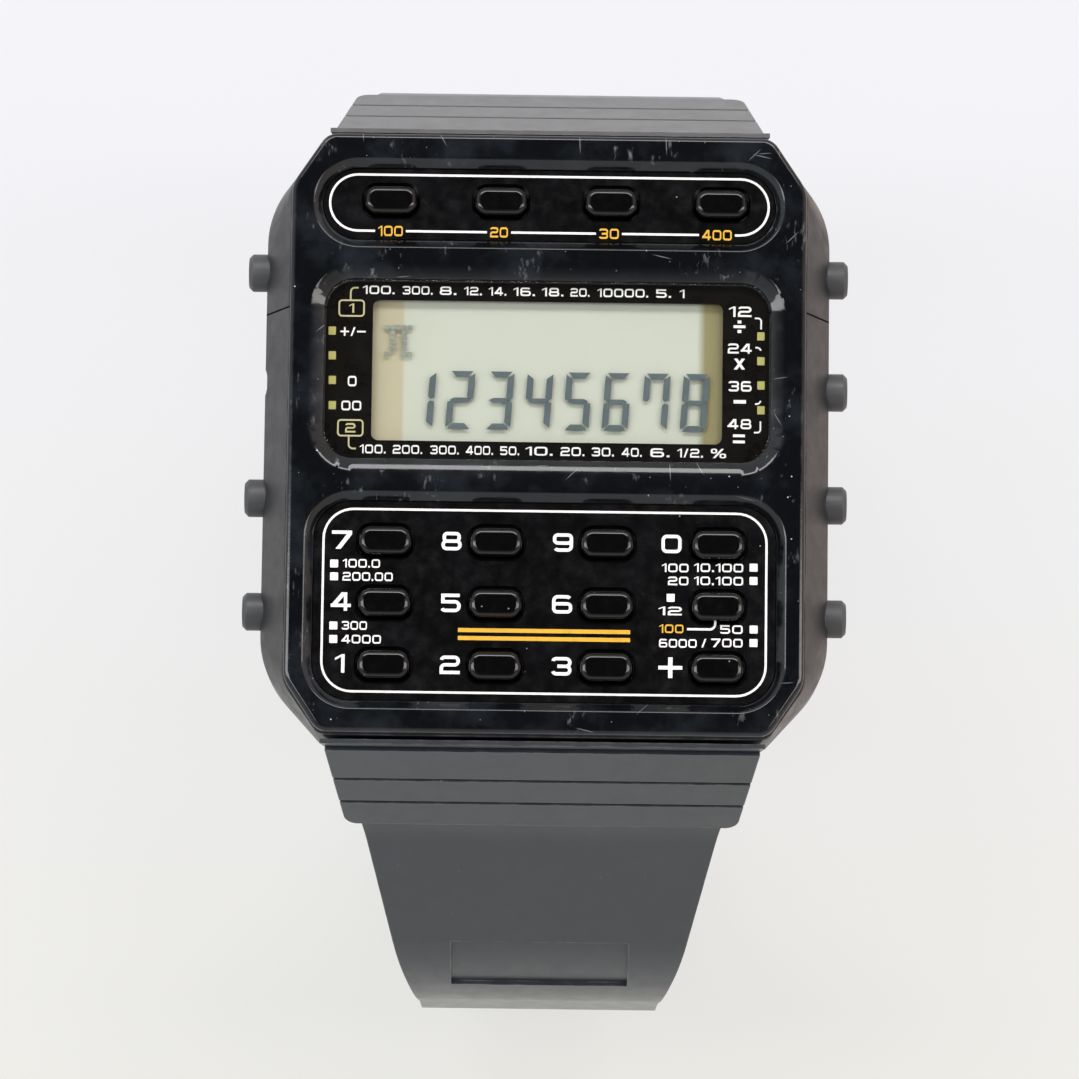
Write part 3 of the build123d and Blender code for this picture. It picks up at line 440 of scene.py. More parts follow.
def mixed(look, share, below, above):
    """Colour between two others."""
    return add_node(look, "Mix", {0: share, 6: below, 7: above}, data_type="RGBA")[2]


def colour_over(look, mask, colour):
    """Lay a colour over the finish where the mask is high."""
    socket = shader_of(look).inputs["Base Color"]
    below = socket.links[0].from_socket if socket.is_linked else socket.default_value
    feed(look, "Base Color", mixed(look, mask, below, (*colour, 1)))


def stain(look, colour, *patch_values):
    """Lay a colour over the finish in soft patches."""
    colour_over(look, patches(look, *patch_values), colour)


def uneven_gloss(look, *patch_values):
    feed(look, "Roughness", patches(look, *patch_values))


def relief(look, source, depth, strength):
    """Raise the surface by a value."""
    inputs = {"Strength": strength, "Distance": depth, "Height": source}
    feed(look, "Normal", add_node(look, "Bump", inputs)["Normal"])


def worn_and_highlit_edges(look, colour, radius, patch=1.4 * mm, low=0.02, high=0.25):
    """Lay a colour, broken up by patches, over the edges that hands and cuffs rub; on the glossy front it
    also stands for a painted highlight along the rounded edges.
    """
    inputs = {0: add_node(look, "Bevel", {"Radius": radius}, samples=6)["Normal"],
              1: add_node(look, "NewGeometry")["Normal"]}
    alike = add_node(look, "VectorMath", inputs, operation="DOT_PRODUCT")["Value"]
    worn = between(look, alike, 1 - low, 1 - high)
    colour_over(look, times(look, worn, patches(look, patch, 5, 0.42, 0.62)), colour)


def scratches(look, colour, turn, spacing, amount):
    """Fine broken lines in one direction."""
    streak = grain(look, spacing, 2, stretch=(1, 0.03, 1), turn=turn)
    lines = between(look, streak, amount, amount + 0.05)
    colour_over(look, times(look, lines, patches(look, 3.2 * mm, 3, 0.5, 0.62)), colour)


def flecks(look, colour, spacing, size, share=0.6, stretch=1.0, turn=0.0):
    """Specks, or hairlines where they are stretched, on a share of the faces that look up."""
    inputs = {"Vector": on_piece(look, (1, stretch, 1), turn), "Scale": 1 / spacing, "Randomness": 1.0}
    specks = add_node(look, "TexVoronoi", inputs, voronoi_dimensions="2D")
    near = between(look, specks["Distance"], size, size * 0.45)
    chosen = between(look, specks["Color"], share, share + 0.02)
    upward = between(look, axes_of(look, "Normal")["Z"], 0.6, 0.8)
    colour_over(look, times(look, near, times(look, chosen, upward)), colour)


def resin(name, colour, pale, roughness):
    """Matt moulded resin: fine grain, paler where it is rubbed."""
    look = new_finish(name, colour, roughness)
    stain(look, pale, 6 * mm, 4, 0.35, 0.75, 0.0, 0.5)
    uneven_gloss(look, 1.2 * mm, 5, 0.3, 0.7, roughness - 0.07, roughness + 0.09)
    relief(look, grain(look, 0.16 * mm, 2), 0.012 * mm, 0.6)
    return look


def case_resin():
    """Resin of the case, with rubbed edges, scratches and the dark seam across it."""
    look = resin("case_resin", (0.012, 0.0125, 0.014), (0.022, 0.022, 0.024), 0.38)
    worn_and_highlit_edges(look, (0.13, 0.13, 0.13), 0.22 * mm)
    scratches(look, (0.06, 0.06, 0.06), 0.4, 0.35 * mm, 0.7)
    apart = reckon(look, "ABSOLUTE", reckon(look, "SUBTRACT", axes_of(look)["Y"], seam_y))
    colour_over(look, between(look, apart, seam_end, seam_deep), (0.002, 0.002, 0.002))
    feed(look, "Specular IOR Level", between(look, apart, seam_deep, seam_end, 0.0, 0.5))
    return look


def strap_resin():
    """Bluish black resin with a low sheen, paler where it is rubbed, with a painted sheen on the upper ribs
    beside the case at 12 o'clock.
    """
    look = resin("strap_resin", (0.014, 0.020, 0.028), (0.021, 0.029, 0.038), 0.42)
    shader = shader_of(look)
    shader.inputs["Coat Weight"].default_value = 0.7
    shader.inputs["Coat Roughness"].default_value = 0.34
    axes = axes_of(look)
    beside = between(look, axes["Y"], *strap_sheen_y)
    upper = between(look, axes["Z"], *strap_sheen_z)
    # Painted sheen: the upper ribs beside the case at 12 o'clock are made paler, as where light falls on them
    colour_over(look, times(look, beside, upper), (0.065, 0.063, 0.063))
    worn_and_highlit_edges(look, (0.16, 0.165, 0.17), 0.2 * mm, 1.2 * mm)
    flecks(look, (0.3, 0.3, 0.3), 2.6 * mm, 0.022)
    return look


def front_gloss():
    """Glossy black front: worn rims with a painted highlight along the edges, smears, dust and fine
    scratches.
    """
    look = new_finish("front_gloss", (0.0027, 0.0033, 0.0045), 0.12)
    stain(look, (0.015, 0.018, 0.022), 3.5 * mm, 8, 0.47, 0.72, 0.0, 0.85)
    uneven_gloss(look, 0.9 * mm, 6, 0.3, 0.75, 0.05, 0.17)
    # Pale edges: partly wear, partly a painted highlight of the rounded outer edges
    worn_and_highlit_edges(look, (0.36, 0.37, 0.38), 0.2 * mm, 0.9 * mm, 0.03)
    rubbed = between(look, grain(look, 0.35 * mm, 6, stretch=(1, 0.3, 1)), 0.55, 0.72)
    worn = times(look, rubbed, patches(look, 2.4 * mm, 3, 0.57, 0.64))
    colour_over(look, worn, (0.13, 0.135, 0.14))
    for turn, spacing, size, share in (
        (0.5, 1.5, 0.024, 0.58), (-0.8, 1.9, 0.02, 0.56), (1.35, 2.3, 0.018, 0.58),
        (-1.5, 1.3, 0.024, 0.62), (0.05, 1.4, 0.03, 0.6),
    ):
        flecks(look, (0.12, 0.125, 0.13), spacing * mm, size, share, 0.06, turn)
    flecks(look, (0.5, 0.51, 0.52), 1.3 * mm, 0.045, 0.86)
    flecks(look, (0.16, 0.165, 0.17), 0.55 * mm, 0.08, 0.84)
    relief(look, grain(look, 0.5 * mm, 4), 0.004 * mm, 0.5)
    return look


def plate_ground():
    """Dark printed ground of the key fields."""
    look = new_finish("plate_ground", (0.0018, 0.0015, 0.0018), 0.16)
    stain(look, (0.005, 0.005, 0.007), 4 * mm, 6, 0.48, 0.75, 0.0, 0.7)
    uneven_gloss(look, 0.9 * mm, 5, 0.3, 0.7, 0.1, 0.24)
    for turn, spacing in ((0.6, 2.1 * mm), (-1.1, 2.6 * mm)):
        flecks(look, (0.09, 0.09, 0.095), spacing, 0.022, 0.7, 0.08, turn)
    flecks(look, (0.28, 0.28, 0.29), 1.7 * mm, 0.035, 0.85)
    return look


def key_resin():
    """Glossy black keys with worn rims and dust."""
    look = new_finish("key_resin", (0.0015, 0.0015, 0.0017), 0.1)
    uneven_gloss(look, 0.6 * mm, 4, 0.3, 0.7, 0.06, 0.16)
    worn_and_highlit_edges(look, (0.3, 0.3, 0.3), 0.1 * mm, 0.7 * mm, 0.05, 0.3)
    flecks(look, (0.3, 0.3, 0.3), 1.1 * mm, 0.05, 0.82)
    return look


def ink(name, colour, thin):
    """Screen print, a little uneven and thinner in patches."""
    look = new_finish(name, colour, 0.45)
    stain(look, thin, 0.5 * mm, 5, 0.5, 0.78, 0.0, 0.7)
    relief(look, grain(look, 0.1 * mm, 2), 0.004 * mm, 0.5)
    return look


def window_glass():
    """Clear window: it lets the display through and mirrors the room a little."""
    look = bpy.data.materials.new("window_glass")
    look.use_nodes = True
    look.node_tree.nodes.remove(shader_of(look))
    clear = add_node(look, "BsdfTransparent", {"Color": (0.985, 0.99, 0.985, 1)})["BSDF"]
    haze = patches(look, 1.0 * mm, 5, 0.35, 0.75, 0.04, 0.14)
    mirror = add_node(look, "BsdfGlossy", {"Color": (1, 1, 1, 1), "Roughness": haze})["BSDF"]
    facing = add_node(look, "LayerWeight", {"Blend": 0.5})["Facing"]
    grazing = reckon(look, "POWER", facing, 5.0)
    show(look, between(look, grazing, 0, 1, 0.022, 0.6), clear, mirror)
    return look


def mask_black():
    """Black print on the back of the window, which mirrors less than a bare surface."""
    look = inner_finish("mask_black", (0.003, 0.0025, 0.002), 0.3, 3 * mm, (0.005, 0.004, 0.0035))
    shader_of(look).inputs["Specular IOR Level"].default_value = 0.08
    return look


def display_film():
    """Grey-green reflecting film, with a tan strip on its left and an olive one on its right."""
    look = new_finish("display_film", (0.59, 0.605, 0.53), 0.42)
    across = axes_of(look)["X"]
    stain(look, (0.62, 0.635, 0.555), 5 * mm, 3, 0.35, 0.7, 0.0, 0.35)
    colour_over(look, between(look, across, *tan_glow, 0.25, 0.0), (0.58, 0.57, 0.45))
    colour_over(look, between(look, across, *tan_strip), (0.53, 0.47, 0.33))
    colour_over(look, between(look, across, *olive_strip), (0.30, 0.26, 0.125))
    uneven_gloss(look, 0.8 * mm, 3, 0.3, 0.7, 0.38, 0.48)
    return look


def display_segment():
    look = new_finish("display_segment", (0.06, 0.086, 0.095), 0.5)
    stain(look, (0.08, 0.11, 0.117), 1.1 * mm, 3, 0.4, 0.7)
    return look


def steel(name, colour, rough_low, rough_high, turn=0.0):
    """Brushed steel with long fine marks."""
    look = new_finish(name, colour, 0.3, metallic=1.0)
    brushed = grain(look, 0.12 * mm, 4, stretch=(1, 0.03, 1), turn=turn)
    feed(look, "Roughness", between(look, brushed, 0.3, 0.7, rough_low, rough_high))
    stain(look, [part * 0.78 for part in colour], 4 * mm, 4, 0.45, 0.75, 0.0, 0.6)
    relief(look, brushed, 0.004 * mm, 0.5)
    return look


def inner_finish(name, colour, roughness, patch, other, metallic=0.0):
    """Finish of a piece inside the case: patches of a second colour and a fine grain."""
    look = new_finish(name, colour, roughness, metallic)
    stain(look, other, patch, 4, 0.45, 0.6)
    uneven_gloss(look, patch * 0.3, 3, 0.3, 0.7, roughness * 0.8, roughness * 1.2)
    relief(look, grain(look, 0.2 * mm, 2), 0.006 * mm, 0.6)
    return look


finishes = {
    "case": case_resin(),
    "front": front_gloss(),
    "plate": plate_ground(),
    "key": key_resin(),
    "pusher": resin("pusher_resin", (0.045, 0.046, 0.05), (0.075, 0.076, 0.08), 0.45),
    "strap": strap_resin(),
    "white_ink": ink("white_ink", (0.84, 0.82, 0.81), (0.62, 0.60, 0.59)),
    "amber_ink": ink("amber_ink", (0.70, 0.38, 0.02), (0.48, 0.24, 0.015)),
    "yellow_ink": ink("yellow_ink", (0.41, 0.385, 0.11), (0.33, 0.31, 0.09)),
    "pale_yellow_ink": ink("pale_yellow_ink", (0.50, 0.45, 0.24), (0.36, 0.32, 0.16)),
    "glass": window_glass(),
    "film": display_film(),
    "segment": display_segment(),
    "dots": inner_finish("display_dots", (0.19, 0.21, 0.18), 0.5, 0.8 * mm, (0.25, 0.27, 0.23)),
    "mask": mask_black(),
    "steel": steel("brushed_steel", (0.60, 0.60, 0.61), 0.26, 0.42),
    "buckle_steel": steel("buckle_steel", (0.62, 0.62, 0.62), 0.16, 0.3, math.radians(90)),
    "brass": inner_finish("brass", (0.62, 0.44, 0.18), 0.32, 3 * mm, (0.5, 0.33, 0.12), metallic=1.0),
    "rubber": inner_finish("dark_rubber", (0.02, 0.02, 0.02), 0.7, 2 * mm, (0.03, 0.03, 0.03)),
    "membrane": inner_finish("grey_rubber", (0.16, 0.17, 0.18), 0.65, 2 * mm, (0.12, 0.13, 0.14)),
    "module": inner_finish("module_plastic", (0.03, 0.03, 0.034), 0.5, 4 * mm, (0.045, 0.045, 0.05)),
    "board": inner_finish("board_green", (0.012, 0.09, 0.035), 0.35, 1.2 * mm, (0.02, 0.16, 0.06)),
    "chip": inner_finish("chip_black", (0.012, 0.012, 0.013), 0.45, 2 * mm, (0.02, 0.02, 0.021)),
    "guide": inner_finish("clear_plastic", (0.7, 0.73, 0.7), 0.25, 3 * mm, (0.62, 0.66, 0.63)),
    "lcd_glass": inner_finish("display_glass", (0.30, 0.33, 0.28), 0.12, 4 * mm, (0.26, 0.29, 0.25)),
    "bulb": inner_finish("lamp_glass", (0.7, 0.68, 0.6), 0.1, 1 * mm, (0.6, 0.58, 0.5)),
}


# Case, front and strap

def softened_solids():
    """Moulded and turned pieces: the solid's own form with softened edges."""
    for node, name, rounding, finish, slot in (
        ("case_middle", "case_moulding", 0.14, "case", "case_resin"),
        ("front_bezel", "front_frame", 0.07, "front", "bezel_gloss"),
        ("strap_12", "strap_12_moulding", 0.28, "strap", "strap_resin"),
        ("strap_6", "strap_6_moulding", 0.28, "strap", "strap_resin"),
        ("fixed_keeper", "fixed_keeper_loop", 0.22, "strap", "strap_resin"),
        ("free_keeper", "free_keeper_loop", 0.22, "strap", "strap_resin"),
        ("buckle_frame", "buckle_loop", 0.12, "buckle_steel", "steel"),
        ("buckle_tongue", "buckle_finger", 0.12, "buckle_steel", "steel"),
        ("buckle_pin", "buckle_bar", 0.1, "steel", "steel"),
        ("spring_bar_12", "spring_bar_12_turned", 0.08, "steel", "steel"),
        ("spring_bar_6", "spring_bar_6_turned", 0.08, "steel", "steel"),
        ("case_back", "back_plate", 0.06, "steel", "steel"),
    ):
        dress_solid(soften(solid_copy(node, name), rounding * mm), node, finish)


def middle_of(node):
    low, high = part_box(node)
    return (low.x + high.x) / 2, (low.y + high.y) / 2


def length_of(node):
    low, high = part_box(node)
    return (high - low).x


def pushers():
    """One pusher softened, then copied to its places; the flush one has its own length."""
    for side in ("right", "left"):
        first = f"pusher_{side}_1"
        pattern = soften(solid_copy(first, f"{first}_button"), pusher_rounding)
        for row in range(2, 5):
            node = f"pusher_{side}_{row}"
            if length_of(node) < length_of(first) - pusher_rounding:
                twin = soften(solid_copy(node, f"{node}_button"), pusher_rounding)
            else:
                shift = middle_of(node)[1] - middle_of(first)[1]
                twin = copy_of(pattern, f"{node}_button", (0, shift, 0))
            dress_solid(twin, node, "pusher")
        dress_solid(pattern, first, "pusher")


def key_nodes():
    return sorted(node for node in frame["nodes"]
                  if node.startswith("key_") and "plate" not in node and "membrane" not in node)


def keys():
    """One key softened, then copied to the other fifteen places."""
    first = "key_5"
    pattern = soften(solid_copy(first, f"{first}_cap"), key_rounding, segments=5)
    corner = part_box(first)[0]
    for node in key_nodes():
        if node != first:
            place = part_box(node)[0]
            twin = copy_of(pattern, f"{node}_cap", (place.x - corner.x, place.y - corner.y, 0))
            dress_solid(twin, node, "key")
    dress_solid(pattern, first, "key")


def back_screws():
    """One slotted screw, copied to the four corners of the back."""
    low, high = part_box("back_screws")
    head_radius = 0.85 * mm
    head_height = 0.4 * mm
    shank_radius = 0.5 * mm
    slot_width = 0.3 * mm
    slot_depth = 0.2 * mm
    softening = 0.03 * mm
    x, y = high.x - head_radius, high.y - head_radius

    def looks_down(face):
        return face.normal.z < -0.9

    deselect_all()
    bpy.ops.mesh.primitive_cylinder_add(vertices=40, radius=head_radius, depth=head_height,
                                        location=(x, y, low.z + head_height / 2))
    pattern = name_piece("back_screw_1")
    settle(pattern)
    pick_faces(pattern, lambda face: face.normal.z > 0.9)
    bpy.ops.mesh.inset(thickness=head_radius - shank_radius)
    bpy.ops.mesh.extrude_region_move(TRANSFORM_OT_translate={"value": (0, 0, high.z - low.z - head_height)})
    close_edit()
    for edge_y in (y + slot_width / 2, y - slot_width / 2):
        pick_faces(pattern, looks_down)
        bpy.ops.mesh.bisect(plane_co=(x, edge_y, low.z), plane_no=(0, 1, 0))
        close_edit()
    pick_faces(pattern, lambda face: looks_down(face) and abs(face.center.y - y) < slot_width / 2)
    bpy.ops.mesh.extrude_region_move(TRANSFORM_OT_translate={"value": (0, 0, slot_depth)})
    close_edit()
    soften(pattern, softening, segments=2)
    screws = [pattern]
    for number, (side, end) in enumerate(((-1, 1), (1, -1), (-1, -1)), start=2):
        screws.append(copy_of(pattern, f"back_screw_{number}", (x * (side - 1), y * (end - 1), 0)))
    for screw in screws:
        dress(screw, "steel")
    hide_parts("back_screws")


# Print

# Numerals one unit high: width, width of a stroke, inner curve of a bowl and gap between two
wide = 1.08
pen = 0.18
bowl = 0.25 + pen / 4
numeral_gap = 0.2
unit_merge = 0.001
degrees_per_step = 12
edge_of_side = {"up": (0, 1), "down": (0, -1), "left": (-1, 0), "right": (1, 0)}


def loop(left, low, right, high, radius, line=pen):
    """Stroke that runs once round a rounded rectangle, up its left side first."""
    across = right - left - radius * 2
    along = high - low - radius * 2
    moves = ((left + radius, high - radius, -90), (across, 0),
             (right - radius, high - radius, -90), (0, -along),
             (right - radius, low + radius, -90), (-across, 0), (left + radius, low + radius, -90))
    return (left, low + radius), (left + line, high - radius), "up", moves


def bar(left, low, right, high):
    return (left, low), (right, high), None, ()


# Strokes of each numeral and sign, one unit high: a rectangle from low to high, the side that is drawn
# out, and its moves, slid by (x, y) or spun round (x, y) by degrees
strokes_of = {
    "0": (loop(0, 0, wide, 1, 0.3),),
    "1": (bar(0.34, 0, 0.34 + pen, 1), ((0.34, 0.86), (0.45, 0.98), "left", ((-0.1, -0.05), (-0.24, -0.13)))),
    "2": (((0.4, 1 - pen), (wide - bowl, 1), "right",
           ((wide - bowl, 1 - bowl, -180), (bowl - 0.8, 0), (0.28, 0.5 + pen / 2 - 0.28, 90), (0, -0.22))),
          ((0.27, 1 - pen), (0.5, 1), "left", ((0.27, 0.73, 75),)), bar(0, 0, wide, pen)),
    "3": (((0.3, 1 - pen), (wide - bowl, 1), "right", ((wide - bowl, 1 - bowl, -180), (-0.45, 0))),
          ((0.3, 0), (wide - bowl, pen), "right", ((wide - bowl, bowl, 180), (-0.4, 0))),
          ((0.27, 1 - pen), (0.5, 1), "left", ((0.27, 0.73, 72),)),
          ((0.27, 0), (0.5, pen), "left", ((0.27, 0.27, -72),))),
    "4": (bar(0.7, 0, 0.7 + pen, 1), bar(0, 0.2, wide, 0.2 + pen),
          ((0.56, 0.97), (0.84, 1), "down", ((-0.56, -0.68),))),
    "5": (bar(0.06, 0.65 - pen, 0.06 + pen, 1), bar(0.06, 1 - pen, 1.02, 1),
          ((0.06, 0.65 - pen), (0.77, 0.65), "right",
           ((0.77, 0.34, -90), (0, -0.03), (0.77, 0.31, -90), (-0.49, 0), (0.28, 0.28, -62)))),
    "6": (loop(0, 0, wide, 0.62, 0.27),
          ((0, 0.25), (pen, 0.7), "up", ((0.3, 0.7, -90), (0.48, 0), (0.78, 0.7, -52)))),
    "7": (bar(0, 1 - pen, wide, 1), ((0.8, 0.8), (wide, 0.9), "down", ((-0.6, -0.8),))),
    "8": (loop(0.05, 0.5 - pen / 2, 1.03, 1, 0.25), loop(0, 0, wide, 0.5 + pen / 2, 0.28)),
    "9": (loop(0, 0.38, wide, 1, 0.27),
          ((wide - pen, 0.3), (wide, 0.75), "down", ((0.78, 0.3, -90), (-0.48, 0), (0.3, 0.3, -52)))),
    "+": (bar(0.5 - pen / 2, 0, 0.5 + pen / 2, 1), bar(0, 0.5 - pen / 2, 1, 0.5 + pen / 2)),
    "-": (bar(0, 0.5 - pen / 2, 1, 0.5 + pen / 2),),
    "=": (bar(0, 0.14, 1, 0.36), bar(0, 0.64, 1, 0.86)),
    "x": (((0, 0), (0.3, 0.02), "up", ((0.7, 0.98),)), ((0.7, 0), (1, 0.02), "up", ((-0.7, 0.98),))),
    ":": (bar(0, 0.39, 1, 0.61), bar(0.34, 0.76, 0.66, 1), bar(0.34, 0, 0.66, 0.24)),
    "%": (((0.14, 0), (0.3, 0.02), "up", ((0.56, 0.98),)), loop(0, 0.5, 0.42, 1, 0.16, 0.12),
          loop(0.58, 0, 1, 0.5, 0.16, 0.12)),
    "/": (((0, 0), (0.2, 0.02), "up", ((0.36, 0.98),)),),
    ".": (bar(0, 0, 0.22, 0.22),),
}


def stroke(low, high, side, moves):
    """Rectangle whose edge on one side is drawn out by moves, then thickened by one unit."""
    piece = flat_piece("stroke", low, high)
    if side:
        ways = edge_of_side[side]
        place = Vector([(a + b + way * (b - a)) / 2 for a, b, way in zip(low, high, ways)] + [0])
        pick_edges(piece, lambda a, b: ((a + b) / 2 - place).length < unit_merge)
        for x, y, *degrees in moves:
            if degrees:
                steps = max(3, round(abs(degrees[0]) / degrees_per_step))
                angle = -math.radians(degrees[0])
                bpy.ops.mesh.spin(steps=steps, angle=angle, center=(x, y, 0), axis=(0, 0, 1))
            else:
                bpy.ops.mesh.extrude_region_move(TRANSFORM_OT_translate={"value": (x, y, 0)})
        close_edit()
    return thicken(piece, 1, unit_merge)


def melted(strokes, name):
    """Overlapping strokes made one closed piece."""
    piece = join_all(strokes, name)
    if len(strokes) > 1:
        pick_all(piece)
        bpy.ops.mesh.intersect_boolean(operation="UNION", use_self=True, solver="EXACT")
        close_edit()
    return piece


def numeral_patterns():
    """Each numeral and sign modelled once, one unit high, standing at the origin."""
    patterns = {}
    for number, (sign, strokes) in enumerate(strokes_of.items()):
        piece = melted([stroke(*values) for values in strokes], f"numeral_pattern_{number}")
        xs = [point.co.x for point in piece.data.vertices]
        patterns[sign] = (piece, min(xs), max(xs))
    return patterns


def placed_print(pattern, place, scale, z):
    """Copy of a unit pattern at its size and place, as thick as the ink."""
    take_up(pattern)
    bpy.ops.object.duplicate()
    copy = name_piece("print")
    copy.scale = (*scale, ink_thickness)
    copy.location = (*place, z)
    settle(copy)
    return copy


def number_print(text, middle, height, z, width=None):
    """Copies of the numerals side by side, squeezed to an exact width where one is given."""
    drawn = sum(patterns[sign][2] - patterns[sign][1] for sign in text) + numeral_gap * (len(text) - 1)
    across = width / drawn if width else height
    left = middle[0] - drawn * across / 2
    copies = []
    for sign in text:
        pattern, low, high = patterns[sign]
        place = (left - low * across, middle[1] - height / 2)
        copies.append(placed_print(pattern, place, (across, height), z))
        left += (high - low + numeral_gap) * across
    return join_all(copies, "print")


def spread_number(text, left, right, y, height, z):
    """Numerals from left to right, given in millimetres."""
    return number_print(text, ((left + right) / 2 * mm, y * mm), height * mm, z, (right - left) * mm)


def line_print(low, high, side, moves, z):
    """Bent line, given in millimetres."""
    line = stroke(low, high, side, moves)
    line.scale = (mm, mm, ink_thickness)
    line.location = (0, 0, z)
    settle(line)
    return line


def printed_bar(low, high, z, corner=0.0):
    """Rectangle of print between two corners."""
    piece = flat_piece("print", low, high, z)
    if corner:
        round_corners(piece, corner)
    return thicken(piece)


def printed_square(x, y, half_width, half_height, corner, z):
    """Rounded square of print round a place, given in millimetres."""
    low = ((x - half_width) * mm, (y - half_height) * mm)
    high = ((x + half_width) * mm, (y + half_height) * mm)
    return printed_bar(low, high, z, corner * mm)


def flat_frame(low, high, z, corner, line):
    """Rounded rectangular line, still flat."""
    ring = flat_piece("print", low, high, z)
    round_corners(ring, corner)
    pick_all(ring)
    bpy.ops.mesh.inset(thickness=line)
    bpy.ops.mesh.delete(type="FACE")
    close_edit()
    return ring


def cut_gap(ring, left, right, below_y):
    """Break a flat line between two places, on its lower side."""
    for x in (left, right):
        pick_all(ring)
        bpy.ops.mesh.bisect(plane_co=(x, 0, 0), plane_no=(1, 0, 0))
        close_edit()
    pick_faces(ring, lambda face: left < face.center.x < right and face.center.y < below_y)
    bpy.ops.mesh.delete(type="FACE")
    close_edit()


# Amber numbers in the line of the upper key field: text, start and end of the gap and the room that each
# number leaves in it, in millimetres
upper_labels = (("100", -10.98, -9.03), ("20", -3.92, -2.4), ("30", 2.96, 4.6), ("400", 9.46, 11.73))
label_room = 0.4
label_height = 0.66 * mm


def upper_field_print():
    """Stadium line, broken under each key by an amber number."""
    low = upper_field[0][1]
    ring = flat_frame(*upper_field, plate_top, upper_corner, field_line)
    amber = []
    for label, start, end in upper_labels:
        cut_gap(ring, start * mm, end * mm, low + gap_depth)
        place = ((start + end) / 2 * mm, low + field_line / 2)
        amber.append(number_print(label, place, label_height, plate_top, (end - start - label_room) * mm))
    white = thicken(ring)
    white.name = "upper_field_line"
    dress(white, "white_ink")
    dress(join_all(amber, "upper_field_numbers"), "amber_ink")


# Small numbers between the keys: text, left, right and height of the middle, in millimetres
small_height = 0.54
small_numbers = (
    ("100.0", -12.64, -10.31, -8.37), ("200.00", -12.64, -9.5, -9.2),
    ("300", -12.64, -11.06, -12.29), ("4000", -12.64, -10.17, -13.15),
    ("100", 7.34, 9.0, -8.4), ("10.100", 9.35, 12.42, -8.36), ("20", 7.72, 9.0, -9.22),
    ("10.100", 9.35, 12.42, -9.19), ("50", 11.0, 12.42, -12.24), ("6000", 7.2, 9.55, -13.15),
    ("/", 9.85, 10.15, -13.12), ("700", 10.45, 12.42, -13.09), ("12", 7.15, 8.6, -11.12),
)
small_squares = ((-13.18, -8.4), (-13.17, -9.21), (-13.16, -12.31), (-13.15, -13.16),
                 (13.07, -8.32), (13.07, -9.16), (13.1, -12.22), (13.1, -13.07), (7.9, -10.29))
small_square = (0.25, 0.25, 0.05)
keypad_hook = ((8.94, -12.32), (10.35, -12.18), "right", ((10.35, -11.9, 90), (0, 0.25)))
amber_bars = (((-5.37, -12.62), (5.39, -12.36)), ((-5.37, -13.12), (5.39, -12.86)))


def lower_field_print():
    """Line round the keypad, the numerals beside the keys and the small marks between them."""
    white = [thicken(flat_frame(*lower_field, plate_top, lower_corner, field_line))]
    for digit, column in zip("0123456789", (3, 0, 1, 2, 0, 1, 2, 0, 1, 2)):
        place = (numeral_columns[column], middle_of(f"key_{digit}")[1] + numeral_raise)
        width = None if digit == "1" else numeral_width
        white.append(number_print(digit, place, numeral_height, plate_top, width))
    place = (numeral_columns[3], middle_of("key_plus")[1] + numeral_raise)
    white.append(number_print("+", place, plus_height, plate_top, plus_width))
    for x, y in small_squares:
        white.append(printed_square(x, y, *small_square, plate_top))
    for text, left, right, y in small_numbers:
        white.append(spread_number(text, left, right, y, small_height, plate_top))
    white.append(line_print(*keypad_hook, plate_top))
    dress(join_all(white, "lower_field_print"), "white_ink")
    amber = [printed_bar([part * mm for part in start], [part * mm for part in end], plate_top)
             for start, end in amber_bars]
    amber.append(spread_number("100", 7.2, 8.72, -12.24, small_height, plate_top))
    dress(join_all(amber, "lower_field_amber"), "amber_ink")


# Display

def sheet(name, low, high, bottom, top, corner):
    """Flat sheet with rounded corners."""
    piece = flat_piece(name, low, high, bottom)
    round_corners(piece, corner)
    return thicken(piece, top - bottom)


def display_mask():
    """Black mask under the window, open over the display."""
    low = (crystal_low.x + mask_margin, crystal_low.y + mask_margin)
    high = (crystal_high.x - mask_margin, crystal_high.y - mask_margin)
    mask = sheet("display_mask", low, high, crystal_low.z, crystal_low.z + mask_thickness, mask_corner)
    opening = sheet("opening", (-view_half_width, view_low), (view_half_width, view_high),
                    crystal_low.z - mask_thickness, crystal_low.z + mask_thickness * 2, view_corner)
    take_up(mask)
    bpy.ops.object.modifier_add(type="BOOLEAN")
    cut = mask.modifiers[-1]
    cut.operation = "DIFFERENCE"
    cut.object = opening
    bpy.ops.object.modifier_apply(modifier=cut.name)
    bpy.data.objects.remove(opening)
    dress(mask, "mask")


def window_pane():
    """Window with a rounded outline and a softened upper edge, above the mask and its print."""
    bottom = crystal_low.z + mask_thickness + ink_thickness * 2
    pane = sheet("window_pane", crystal_low.xy, crystal_high.xy, bottom, crystal_high.z, pane_corner)
    pick_edges(pane, lambda a, b: min(a.z, b.z) > crystal_high.z - rim_depth)
    bpy.ops.mesh.bevel(offset=pane_rounding, segments=2)
    close_edit()
    even_shading(pane, pane_angle)
    dress(pane, "glass", stands_for=("display_crystal",))


def film():
    """Reflecting film on the display and the clear sheet over it, a little larger than the mask's opening."""
    low = (-film_half_width, view_low - film_margin)
    high = (film_half_width, view_high + film_margin)
    film_top = lcd_top + film_thickness
    layer = sheet("display_film", low, high, lcd_top, film_top, film_corner)
    dress(layer, "film")
    clear = sheet("display_sheet", low, high, film_top + sheet_gap, digits_bottom - sheet_gap, film_corner)
    dress(clear, "glass")


